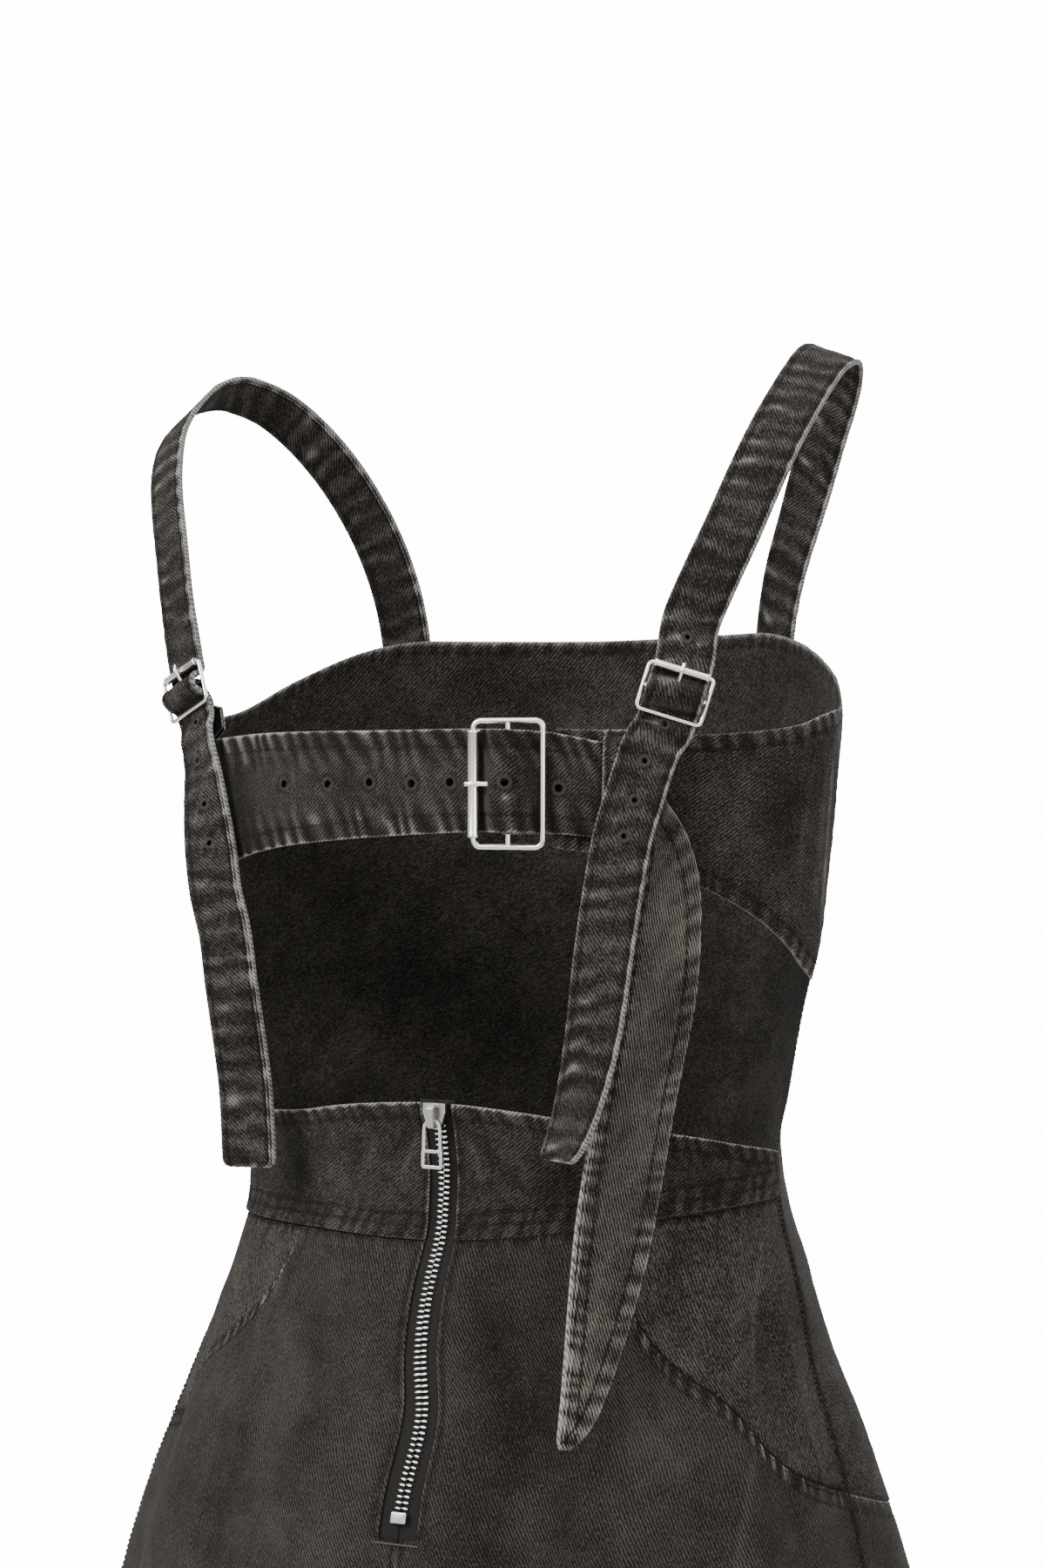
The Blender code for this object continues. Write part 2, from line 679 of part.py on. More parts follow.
# The belt's free end: its inner face's two edges, the one nearer the back's middle first
TAIL_COLUMNS = ("x", "y", "z", "outer_x", "outer_y", "outer_z")
BELT_TAIL = (
    (-103.6, 97.2, -222, -103.8, 97.0, -184),
    (-104, 98, -225.5, -107, 96.4, -195),
    (-104.2, 99.5, -230, -111.6, 94.7, -207),
    (-103.2, 103, -238, -117.2, 91.5, -217),
    (-101, 107, -250, -121, 88, -229),
    (-98.2, 109.5, -265, -123, 85, -244),
    (-96, 110.5, -284, -121.6, 81, -265),
    (-92.2, 111, -305, -118.8, 78.5, -290),
    (-88, 112, -326, -113.7, 77, -314),
    (-84.2, 112, -345, -108.2, 76, -338),
    (-81, 113, -366, -103.7, 77, -364),
    (-78.3, 116, -392, -100, 82, -394),
    (-77.2, 120, -420, -96.3, 93, -424),
    (-76.2, 122, -443, -92.4, 101, -446),
    (-75, 123, -462, -87.8, 108, -466),
    (-73.6, 123, -476, -80.8, 114, -479),
)


def build_belt_tail(finish, parts):
    """Turns down past the keeper, hangs with its outer edge to the side and ends in a point."""
    rows = []
    for x0, y0, z0, x1, y1, z1 in BELT_TAIL:
        near, far = Vector((x0, y0, z0)), Vector((x1, y1, z1))
        rows.append([far.lerp(near, t) * MM for t in (0.0, 0.25, 0.5, 0.75, 1.0)])
    wall(add_object("belt_tail", grid_mesh("belt_tail", rows), finish, parts), BELT_THICK)


# ---------------------------------------------------------------- shoulder straps

# Middle of the underside, then the direction of the width towards the wearer's left: its
# bearing from +X, and how much it rises that way
STRAP_COLUMNS = ("x", "y", "z", "bearing", "rise")
STRAPS = {
    "right": {
        "over": ((-98, -81, -158, -28, 0), (-98.8, -79.5, -128, -26, 0),
                 (-105, -76, -98, -22, 4), (-117, -69, -67, -18, 10),
                 (-132, -54, -35, -12, 18), (-145, -36, -12, -4, 21), (-150.5, -19, -3.5, 2, 22),
                 (-150, -2, -7, 8, 22), (-148, 12, -17, 12, 18), (-146, 27, -30, 15, 14),
                 (-143, 41, -45, 18, 10), (-138.5, 55, -65, 20, 6), (-132, 68, -90, 22, 4),
                 (-124, 79, -115, 23, 6), (-119, 84, -131, 23, 10)),
        "bar": (133.6, -161.5), "base": 4.2,
        "along": (0.27, 0.125, -0.955), "width": (0.86, 0.36, 0.29),
        "tail": ((-107.8, 99.6, -183, 23, 10), (-104.5, 101.6, -192, 22, 6),
                 (-101, 104.5, -206, 22, 4), (-96.3, 108.2, -222, 21, 2),
                 (-94.5, 112.6, -245, 18, 0), (-92.3, 117, -274, 13, 0),
                 (-89.6, 120, -304, 0, 0), (-84.8, 121.3, -330, -14, 0),
                 (-78.8, 121.5, -349, -25, 0), (-73, 121, -361, -31, 0)),
    },
    "left": {
        "over": ((102, -79, -158, 28, 0), (103, -78, -128, 26, 0),
                 (108, -74, -97, 22, -4), (118, -65, -65, 18, -10),
                 (133, -50, -34, 12, -18), (150, -30, -11, 4, -26), (163, -10, -3, -6, -32),
                 (170.5, 4, -6, -14, -32), (174.5, 17, -15, -20, -26),
                 (176, 30, -28, -25, -16), (172.5, 41, -42, -26, -9), (166, 52, -60, -26, -5),
                 (155.5, 64, -88, -25, -5), (147, 72.5, -114, -23, -12)),
        "bar": (34.0, -156.5), "base": 4.6,
        "along": (-0.342, 0.168, -0.924), "width": (0.868, -0.324, -0.38),
        "tail": ((127.6, 85.5, -179, -27, -12), (122.5, 90, -193, -22, -4),
                 (117, 95.5, -211, -8, 0), (112, 99.5, -232, 8, 0), (108.5, 101, -250, 10, 0),
                 (104, 100.6, -268, 11, 0), (101, 99.7, -292, 12, 0), (97.7, 98.5, -316, 13, 0),
                 (94.8, 97.5, -340, 14, 0), (92.6, 97.5, -376, 15, 0)),
    },
}


def strap_base(spec):
    """Placement of a strap buckle: x along the strap, y across it, z out, at the middle bar."""
    angle, z = spec["bar"]
    along = Vector(spec["along"]).normalized()
    across = Vector(spec["width"])
    across = (across - along * across.dot(along)).normalized()
    base = form(angle, z, spec["base"])
    return frame_matrix(base, along, -across, across.cross(along))


def build_strap(name, spec, denim, metal, parts):
    """Shoulder strap with its buckle and tab."""
    place = strap_base(spec)
    half = STRAP_FRAME[1] / 2 - STRAP_WIRE
    under_roller = STRAP_PLANE - STRAP_ROLLER - 0.4 - STRAP_THICK
    under_wire = STRAP_PLANE - STRAP_WIRE - 0.4 - STRAP_THICK
    # distance from the middle bar and height of the underside: in under the roller, up
    # between it and the bar, over the bar and out under the far wire
    through = ((-half - 4, under_roller - 0.1), (-half, under_roller), (-6.8, 2.2),
               (-4.5, 4.0), (-3.5, 6.5), (-2.3, 9.0), (0.0, 10.2), (2.4, 9.1), (4.0, 6.7),
               (5.5, 4.3), (7.4, 3.0), (half, under_wire), (half + 5, under_wire - 0.2))
    over, tail = ([strap_row(*row) for row in spec[part]] for part in ("over", "tail"))
    across = -place.to_3x3().col[1]
    middle = [(place @ Vector((d * MM, 0, h * MM)) / MM, across) for d, h in through]
    first = len(over) + 2
    ribbon("strap_" + name, over + middle + tail, STRAP_WIDTH, STRAP_THICK, denim, parts, 11.0,
           slot=(first, first + 3, 1.9))

    frame = place @ Matrix.Translation((0, 0, STRAP_PLANE * MM))
    shank = ((-3.0, 0.1), (-5.0, 0.7), (-7.4, 2.0), (-half, 3.3), (-half - 2.8, 2.7))
    buckle("strap_buckle_" + name, frame, half, STRAP_FRAME[0], STRAP_WIRE, STRAP_ROLLER,
           24.5, STRAP_PRONG, shank, metal, parts)
    build_strap_tab(name, place, denim, parts)


def strap_row(x, y, z, bearing, rise):
    """A station of a strap: its point and the direction of its width."""
    turn, lean = math.radians(bearing), math.radians(rise)
    return (Vector((x, y, z)), Vector((math.cos(turn) * math.cos(lean),
                                       math.sin(turn) * math.cos(lean), math.sin(lean))))


def build_strap_tab(name, place, denim, parts):
    """Tab folded round the middle bar, its ends behind the wing's top edge."""
    bar = STRAP_PLANE
    profile = ((24.0, 0.9), (13.0, 0.9), (8.5, 0.95), (5.0, 2.0), (2.2, bar - 2.9),
               (0.2, bar - 1.65), (-0.95, bar - 1.1), (-1.4, bar), (-0.9, bar + 1.1),
               (0.1, bar + 1.4), (1.1, bar + 0.9), (2.2, bar - 0.8), (3.5, bar - 2.7),
               (5.2, 2.6), (8.5, 1.35), (13.0, 1.2), (22.5, 1.2))

    def point_of(d, h, across):
        spot = place @ Vector((d * MM, across * MM, h * MM))
        return spot if d < 12 else settle(spot, h - 3.3)

    folded_strip("strap_tab_" + name, profile, spaced(10.5, -10.5, 2), point_of, 0.9, denim,
                 parts)


# ---------------------------------------------------------------- zip

def zip_strip(name, reach, top, bottom, lift, thickness, finish, parts):
    """Strip along the zip through distances from its middle line (+ to the left)."""
    levels = [top] + [z for z in ZIP_LEVELS if bottom < z < top] + [bottom]
    rows = [[form(90 - degrees_of(d), z, lift) for d in reach] for z in levels]
    wall(add_object(name, grid_mesh(name, rows), finish, parts), thickness)


def build_zip(tape, metal, parts):
    tape_lift = -SEAT_GAP - 0.2 - TAPE_THICK
    edges = (SEAM_GAP / 2, TAPE_HALF, TAPE_HALF + 1.0)
    zip_strip("zip_tape_left", edges, ZIP_TOP, ZIP_BOTTOM, tape_lift, TAPE_THICK, tape, parts)
    zip_strip("zip_tape_right", [-d for d in edges[::-1]], ZIP_TOP, ZIP_BOTTOM, tape_lift,
              TAPE_THICK, tape, parts)
    zip_strip("zip_chain", (-CHAIN_HALF, CHAIN_HALF), CHAIN_TOP, STOP_LEVEL + 2.6, 0.0,
              CHAIN_THICK, metal, parts)
    zip_strip("zip_stop", (-3.0, 3.0), STOP_LEVEL + 2.2, STOP_LEVEL - 2.4, 0.0, 2.8, metal,
              parts)
    build_slider(metal, parts)
    build_pull(metal, parts)


def zip_place(z, lift):
    """Placement on the zip's middle line: x to the wearer's right, y up, z out."""
    out = outward_at(90, z)
    right = Vector((0, 0, 1)).cross(out)
    return frame_matrix(form(90, z, lift), right, Vector((0, 0, 1)), out)


def build_slider(metal, parts):
    """Shield-shaped body with the bridge that holds the pull."""
    body = ((-5.4, 4.6), (5.4, 4.6), (5.6, 0.5), (4.4, -3.0), (3.7, -6.2), (-3.7, -6.2),
            (-4.4, -3.0), (-5.6, 0.5))
    plate = flat_plate("zip_slider", (body[::-1],), 3.4, metal, parts)
    plate.matrix_world = zip_place(SLIDER_LEVEL, 2.9)
    plate = as_mesh(plate)
    rise = 1.2
    arch = ((4.2, 3.4), (4.2, 6.0 + rise), (2.6, 7.6 + rise), (-4.6, 7.6 + rise),
            (-6.4, 6.2 + rise), (-6.4, 3.4), (-5.0, 3.4), (-5.0, 6.0), (-4.2, 6.2 + rise),
            (2.2, 6.2 + rise), (2.8, 5.6 + rise), (2.8, 3.4))
    bridge = flat_plate("zip_bridge", (arch,), 3.2, metal, parts)
    place = zip_place(SLIDER_LEVEL, 0.0)
    turned = frame_matrix(place.translation, place.to_3x3().col[1], place.to_3x3().col[2],
                          place.to_3x3().col[0])
    bridge.matrix_world = turned
    join_solid(plate, as_mesh(bridge))


def build_pull(metal, parts):
    """Pull tab: a wire-like frame with two windows, hanging plumb from the bridge."""
    outline = ((-2.6, 0.7), (2.6, 0.7), (4.3, -1.2), (4.7, -4.0), (4.9, -12.6), (5.2, -13.6),
               (5.2, -20.0), (4.6, -20.8), (-4.6, -20.8), (-5.2, -20.0), (-5.2, -13.6),
               (-4.9, -12.6), (-4.7, -4.0), (-4.3, -1.2))
    upper = ((-2.2, -0.7), (2.2, -0.7), (3.0, -1.8), (3.3, -4.0), (3.5, -12.4), (-3.5, -12.4),
             (-3.3, -4.0), (-3.0, -1.8))
    lower = ((-3.8, -13.8), (3.8, -13.8), (3.8, -19.4), (-3.8, -19.4))
    pull = flat_plate("zip_pull", (outline, upper[::-1], lower[::-1]), 1.3, metal, parts)
    pivot = zip_place(SLIDER_LEVEL, 0) @ Matrix.Translation((0, -3.6 * MM, 6.0 * MM))
    up = Vector((0, 0, 1))
    out = Vector((0, 1, 0))
    pull.matrix_world = frame_matrix(pivot.translation, up.cross(out), up, out)


# ---------------------------------------------------------------- assembly

def clear_scene():
    for thing in list(bpy.data.objects):
        bpy.data.objects.remove(thing)


def main():
    clear_scene()
    parts = bpy.data.collections.new("denim_dress")
    bpy.context.scene.collection.children.link(parts)
    bpy.context.scene.collection.children.link(CUTTERS)

    denim = material("washed_denim", (0.052, 0.043, 0.037), 0.9)
    doubled = material("washed_denim_doubled", (0.060, 0.050, 0.043), 0.9)
    nickel = material("satin_nickel", (0.62, 0.59, 0.55), 0.32, 1.0)
    bright = material("bright_nickel", (0.78, 0.77, 0.74), 0.25, 1.0)
    tape = material("zip_tape", (0.018, 0.014, 0.012), 0.85)

    build_front(denim, parts)
    for name, side in (("left", lambda a: a), ("right", lambda a: 180 - a)):
        build_skirt_back(name, side, denim, parts)
        build_waistband(name, side, doubled, parts)
    build_belt(doubled, parts)
    build_wing_right(doubled, parts)
    build_keeper(doubled, parts)
    build_buckle_tab(doubled, parts)
    build_belt_buckle(nickel, parts)
    build_belt_tail(doubled, parts)
    for name, spec in STRAPS.items():
        build_strap(name, spec, doubled, nickel, parts)
    build_zip(tape, bright, parts)


CUTTERS = bpy.data.collections.new("cutters")
main()
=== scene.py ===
"""Denim dress with an open back, seen close up from behind.

Every cloth piece is a closed thin shell on the same form as its CAD solid, with its sewing,
puckers and creases in the mesh, a weave map in millimetres and two attributes: wear, and
painted shade in grooves, troughs, seams, hollows and round eyelets.
Tables are in millimetres and degrees; meshes are in metres.
"""

import json
import logging
import math
from dataclasses import dataclass, field, replace
from enum import Enum
from typing import Any, Iterable, Sequence

import bpy
import numpy as np
from mathutils import Matrix, Vector

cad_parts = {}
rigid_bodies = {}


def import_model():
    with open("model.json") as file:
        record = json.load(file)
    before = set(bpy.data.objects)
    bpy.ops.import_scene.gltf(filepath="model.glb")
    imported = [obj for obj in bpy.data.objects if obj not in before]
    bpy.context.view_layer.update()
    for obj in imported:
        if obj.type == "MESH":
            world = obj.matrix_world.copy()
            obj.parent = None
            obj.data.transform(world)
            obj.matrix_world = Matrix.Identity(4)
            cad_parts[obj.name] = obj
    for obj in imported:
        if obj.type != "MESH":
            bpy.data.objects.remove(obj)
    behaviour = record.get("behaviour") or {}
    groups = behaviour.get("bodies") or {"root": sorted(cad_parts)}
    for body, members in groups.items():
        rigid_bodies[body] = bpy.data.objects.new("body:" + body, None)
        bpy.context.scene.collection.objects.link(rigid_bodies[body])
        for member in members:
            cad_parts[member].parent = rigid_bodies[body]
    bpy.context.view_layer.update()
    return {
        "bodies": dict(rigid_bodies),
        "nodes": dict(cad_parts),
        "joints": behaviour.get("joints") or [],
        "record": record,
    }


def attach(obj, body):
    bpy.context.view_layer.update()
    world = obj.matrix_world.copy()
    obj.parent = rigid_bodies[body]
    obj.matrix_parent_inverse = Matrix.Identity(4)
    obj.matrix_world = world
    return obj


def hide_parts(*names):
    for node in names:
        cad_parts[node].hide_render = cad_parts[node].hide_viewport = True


LOG = logging.getLogger("dress")
MM = 0.001
SEAM = 0.4              # gap between panels at a seam
SIDE_GAP = 0.03         # degrees from a side seam to the cloth
CENTRE_GAP = 0.04       # degrees from the centre-back seam to the cloth
SEAT = 0.3              # gap between a piece and what it lies on
DENIM = 1.6             # walls: one layer, two layers, belt and straps
DOUBLE = 2.4
BELT_THICK = 2.6
STRAP_THICK = 2.6
STRAP_WIDTH = 25.0
HEM = -820.0
BELT_LEVEL = -200.0
BAR = 47.0              # the large buckle's middle bar, along the belt from centre back
HALF = 15.5             # from that bar to the roller and to the far bar
BELT_END = 103.6
FRAME_PLANE = 7.3       # height of the large buckle over the form
STRAP_PLANE = 6.8       # height of a strap buckle over the strap's base
STRAP_HALF = 10.3
TAPE_HALF = 7.6
ZIP_TOP = -405.0        # where the back panels start beside the zip
ZIP_BOTTOM = -529.0
BACK = 90.0             # degrees round the form of the centre back
CREASE_DEGREE = 2.6     # millimetres of cloth in a degree, for creases and at several places
ZIP_DEGREE = 2.42
BAND_DEGREE = 2.4
HIP_DEGREE = 2.5
WING_DEGREE = 2.7
ZIP_EDGE = BACK - TAPE_HALF / ZIP_DEGREE

Array = np.ndarray
Rows = Sequence[Sequence[float]]


# ---------------------------------------------------------------- numbers

def cubic(t: Array, span: Array, start: Array, end: Array, leaving: Array,
          arriving: Array) -> Array:
    """Cubic between two values with given slopes.

    Args:
        t: Fractions of the way.
        span: Length of the way.
        start: Values at its start.
        end: Values at its end.
        leaving: Slopes at its start.
        arriving: Slopes at its end.

    Returns:
        The values at the fractions.
    """
    return (start * (2 * t ** 3 - 3 * t ** 2 + 1) + end * (3 * t ** 2 - 2 * t ** 3)
            + span * (leaving * (t ** 3 - 2 * t ** 2 + t) + arriving * (t ** 3 - t ** 2)))


class Table:
    """Smooth curve through short given rows, the first column being where they lie."""

    def __init__(self, rows: Rows) -> None:
        """Sorts the rows by where they lie."""
        self.rows = np.array(sorted(rows), float)

    def at(self, column: int, where: Any) -> Array:
        """Value of a column.

        Args:
            column: Which column of the rows.
            where: One or many values of the first column, held inside the table.

        Returns:
            The values, on a cubic through the rows.
        """
        xs, ys = self.rows[:, 0], self.rows[:, column]
        steps = np.diff(ys) / np.diff(xs)
        inner = np.where(steps[:-1] * steps[1:] < 0, 0.0, (steps[:-1] + steps[1:]) / 2)
        slopes = np.concatenate(([steps[0]], inner, [steps[-1]]))
        x = np.clip(np.asarray(where, float), xs[0], xs[-1])
        i = np.clip(np.searchsorted(xs, x, side="right") - 1, 0, len(xs) - 2)
        i = np.clip(np.searchsorted(xs, x, side="right") - 1, 0, len(xs) - 2)
        width = xs[i + 1] - xs[i]
        return cubic((x - xs[i]) / width, width, ys[i], ys[i + 1], slopes[i], slopes[i + 1])


def mottle(u: Array, v: Array, scale: float, seed: int) -> Array:
    """Soft value noise from -1 to 1, with a fixed seed.

    Args:
        u: First coordinate, in millimetres.
        v: Second coordinate, in millimetres.
        scale: Size of a patch, in millimetres.
        seed: Seed of the pattern.

    Returns:
        The noise at each point.
    """
    side = 97
    cells = np.random.default_rng(seed).uniform(-1, 1, (side, side))
    x, y = np.broadcast_arrays(np.asarray(u) / scale + 500, np.asarray(v) / scale + 500)
    i, j = np.floor(x).astype(int), np.floor(y).astype(int)
    s, t = (part * part * (3 - 2 * part) for part in (x - i, y - j))
    i0, i1, j0, j1 = i % side, (i + 1) % side, j % side, (j + 1) % side
    return ((cells[i0, j0] * (1 - s) + cells[i1, j0] * s) * (1 - t)
            + (cells[i0, j1] * (1 - s) + cells[i1, j1] * s) * t)


def bell(distance: Array, width: float) -> Array:
    """Bell curve of a distance, 1 in the middle."""
    return np.exp(-(distance / width) ** 2)


def unit(vectors: Array) -> Array:
    """Vectors at length 1."""
    return vectors / np.maximum(np.linalg.norm(vectors, axis=-1, keepdims=True), 1e-12)

def travelled(points: Array, axis: int = 0) -> Array:
    """Distances gone along a line of points or one way of a grid.

    Args:
        points: The points, their coordinates last.
        axis: Which way.

    Returns:
        The distance from the first point to each.
    """
    gone = np.cumsum(np.linalg.norm(np.diff(points, axis=axis), axis=-1), axis=axis)
    return np.concatenate((np.zeros_like(gone.take([0], axis)), gone), axis=axis)


def resampled(line: Rows, count: int) -> Array:
    """Points spaced evenly along a line.

    Args:
        line: The line's points.
        count: How many are wanted.

    Returns:
        The new points.
    """
    points = np.array(line, float)
    gone = travelled(points)
    path = Table([(g, *point) for g, point in zip(gone, points)])
    spots = np.linspace(0, gone[-1], count)
    return np.stack([path.at(k + 1, spots) for k in range(points.shape[1])], axis=1)


def placed(place: Matrix, points: Any) -> Array:
    """Points given on a buckle's own axes, in the row frame."""
    axes = np.array(place)
    return np.asarray(points, float) @ axes[:3, :3].T + axes[:3, 3]


def placement(origin: Array, x: Array, y: Array, z: Array) -> Matrix:
    """Matrix from an origin and three unit axes, in millimetres."""
    return Matrix([[float(part[row]) for part in (x, y, z, origin)] for row in range(3)]
                  + [(0, 0, 0, 1)])


def side_angle(angle: Any) -> Array:
    """Angle from the nearer side seam."""
    turned = np.abs(angle) % 180
    return np.minimum(turned, 180 - turned)


def on_side(angle: Any, right: bool) -> Any:
    """An angle of the wearer's left half, or the same place on the right half."""
    return 180 - angle if right else angle


# ---------------------------------------------------------------- the form

@dataclass(frozen=True)
class Form:
    """The garment's own shape: 0 degrees is the wearer's left side seam, 90 the back."""

    # z, half widths left and right, depths back and front, how much the front narrows
    levels: Rows = (
        (-110, 158, 158, 90, 116, 0.03), (-170, 160, 163, 93, 124, 0.03),
        (-200, 160.5, 162.5, 94.5, 123, 0.06), (-235, 160, 159, 93, 118, 0.08),
        (-271, 155, 154.5, 88, 113, 0.08), (-300, 147, 147.5, 82, 112, 0.08),
        (-340, 138, 140, 73, 114, 0.08), (-368, 131, 134.5, 68.5, 115, 0.05),
        (-395, 131, 137, 68, 116, 0.02), (-424, 138.5, 144.5, 78, 118, 0),
        (-460, 150.5, 150.5, 90, 122, 0), (-500, 162, 161.5, 101, 129, 0),
        (-550, 177.5, 173, 112, 138, 0), (-680, 209, 207, 133, 158, 0),
        (-820, 236, 234, 152, 176, 0))
    # angle, spread, rise, start
    flutes: Rows = (
        (-8, 24, 42, -430), (196, 22, 24, -430), (36, 16, 9, -440), (109, 14, -11, -405),
        (76, 18, 7, -450), (132, 14, -7, -430), (148, 12, 8, -400), (222, 16, -12, -450),
        (246, 20, 16, -440), (276, 18, -10, -460), (302, 20, 15, -440), (328, 16, -10, -450))
    zip_wave: Rows = ((-342, 0.4), (-372, 1.2), (-400, 0.6), (-432, -0.2), (-452, 0.3),
                      (-476, 1.9), (-512, 0.2), (-560, 0.0), (-820, 0.0))
    # creases of the skirt and front: angle, z to angle, z, width, depth
    creases: Rows = (
        (101, -416, 108, -470, 7, -1.3), (112, -470, 115, -560, 12, -2.2),
        (121, -415, 124, -455, 5, 0.9), (128, -500, 124, -640, 6, 1.6),
        (134, -520, 130, -650, 6, -1.2), (151, -420, 156, -500, 6, 1.0),
        (160, -415, 166, -500, 7, -1.2), (170, -440, 172, -520, 4, 0.9),
        (78, -415, 74, -470, 7, 1.0), (66, -420, 60, -500, 8, -1.2),
        (47, -520, 44, -640, 8, 1.6), (55, -540, 53, -680, 10, -1.8),
        (24, -430, 20, -500, 7, 1.2), (12, -420, 10, -500, 6, -1.2),
        (82, -600, 80, -800, 16, -2.5), (98, -620, 100, -800, 14, 2.2),
        (205, -300, 232, -350, 9, 1.5), (206, -335, 236, -372, 9, -1.6),
        (335, -300, 306, -348, 9, 1.4), (334, -338, 300, -378, 9, -1.6),
        (250, -360, 290, -366, 12, -1.2), (232, -180, 214, -240, 10, 1.2),
        (308, -182, 326, -244, 10, 1.2), (262, -420, 258, -520, 12, 1.4),
        (284, -410, 288, -520, 12, -1.4), (220, -560, 214, -800, 14, 2.0),
        (262, -600, 260, -810, 16, -2.4), (320, -560, 326, -800, 14, 2.0))

    def point(self, angle: Any, z: Any, lift: Any = 0.0, creased: bool = True) -> Array:
        """Points on the form.

        Args:
            angle: Degrees round the form.
            z: Heights, in millimetres.
            lift: How far out from the form, in millimetres.
            creased: Whether the creases are in.

        Returns:
            The points, in millimetres.
        """
        angle, z, lift = np.broadcast_arrays(*(np.asarray(a, float) for a in (angle, z, lift)))
        wave = Table(self.zip_wave).at(1, z) * bell(angle - 90, 9.0) * (z < -330)
        wave = Table(self.zip_wave).at(1, z) * bell(angle - BACK, 9.0) * (z < -330)
        turn = np.radians(angle + wave)
        cos, sin = np.cos(turn), np.sin(turn)
        table = Table(self.levels)
        half = np.where(cos >= 0, table.at(1, z), table.at(2, z))
        depth = np.where(sin >= 0, table.at(3, z), table.at(4, z))
        narrow = 1 - table.at(5, z) * (1 - np.exp(-4 * np.maximum(0, -sin)))
        out = unit(np.stack([cos / half, sin / depth, 0 * z], axis=-1))
        base = np.stack([half * narrow * cos, 20 + depth * sin, z], axis=-1)
        high = lift + self.rise(angle, z) + (self.crease(angle, z) if creased else 0.0)
        return base + out * high[..., None]

    def rise(self, angle: Array, z: Array) -> Array:
        """Height of the skirt's flutes.

        Args:
            angle: Degrees round the form.
            z: Heights, in millimetres.

        Returns:
            How far the cloth stands out there.
        """
        growth = 120.0
        total = 0.0 * z
        for centre, spread, rise, start in self.flutes:
            away = np.abs((angle - centre + 180) % 360 - 180)
            across = np.cos(np.pi / 2 * np.minimum(away / spread, 1)) ** 2
            total = total + rise * across * (1 - np.exp(np.minimum(z - start, 0) / growth))
        return total

    def crease(self, angle: Array, z: Array) -> Array:
        """Height of the listed creases, each uneven and fading at its ends.

        Args:
            angle: Degrees round the form.
            z: Heights, in millimetres.

        Returns:
            How far the cloth stands out there.
        """
        bend_length = 38.0
        total = 0.0 * z
        for k, (a0, z0, a1, z1, width, depth) in enumerate(self.creases):
            x, y = (angle - a0) * CREASE_DEGREE, z - z0
            dx, dy = (a1 - a0) * CREASE_DEGREE, z1 - z0
            length = math.hypot(dx, dy)
            t = (x * dx + y * dy) / length ** 2
            bow = mottle(t * length, 0 * t, bend_length, 40 + k) * width * 0.5
            away = (x * dy - y * dx) / length + bow
            ends = np.clip(np.minimum(t + 0.1, 1.1 - t) / 0.35, 0, 1)
            total = total + depth * bell(away, width) * ends * ends * (3 - 2 * ends)
        return total

    def chart(self, angle: Array, z: Array) -> Array:
        """Places on the flat cloth.

        Args:
            angle: Degrees round the form.
            z: Heights, in millimetres.

        Returns:
            Distance round the form from centre back, and height.
        """
        turn_step, level_step, lowest = 2.0, 10.0, -840
        angles, levels = np.arange(0, 361, turn_step), np.arange(lowest, -99, level_step)
        arcs = travelled(self.point(angles[None], levels[:, None], 0, False), 1)
        back = int(BACK / turn_step)
        arcs -= arcs[:, back:back + 1]
        x = np.clip(np.asarray(angle) / turn_step, 0, len(angles) - 1.001)
        y = np.clip((np.asarray(z) - lowest) / level_step, 0, len(levels) - 1.001)
        i, j = x.astype(int), y.astype(int)
        s, t = x - i, y - j
        low = arcs[j, i] * (1 - s) + arcs[j, i + 1] * s
        high = arcs[j + 1, i] * (1 - s) + arcs[j + 1, i + 1] * s
        return np.stack((low * (1 - t) + high * t, z), -1)

    def out(self, angle: float, z: float) -> Array:
        """Unit vector out of the form, level."""
        return unit(self.point(angle, z, 1, False) - self.point(angle, z, 0, False))

    def along_belt(self, distance: Any) -> Array:
        """Angles along the belt.

        Args:
            distance: Distances from centre back, towards the wearer's right.

        Returns:
            The angle at each.
        """
        angles = np.arange(0, 180.1, 0.25)
        gone = travelled(self.point(angles, BELT_LEVEL, 0, False))
        gone -= np.interp(BACK, angles, gone)
        return np.interp(distance, gone, angles)

    def settled(self, points: Array, lift: Array) -> Array:
        """Nearest points of the form to other points.

        Args:
            points: The other points.
            lift: How far out from the form each is wanted.

        Returns:
            The points, in millimetres.
        """
        x, y, z = np.moveaxis(points, -1, 0)
        table = Table(self.levels)
        half = np.where(x >= 0, table.at(1, z), table.at(2, z))
        depth = np.where(y >= 20, table.at(3, z), table.at(4, z))
        return self.point(np.degrees(np.arctan2((y - 20) / depth, x / half)), z, lift, False)


FORM = Form()


# ---------------------------------------------------------------- finishes

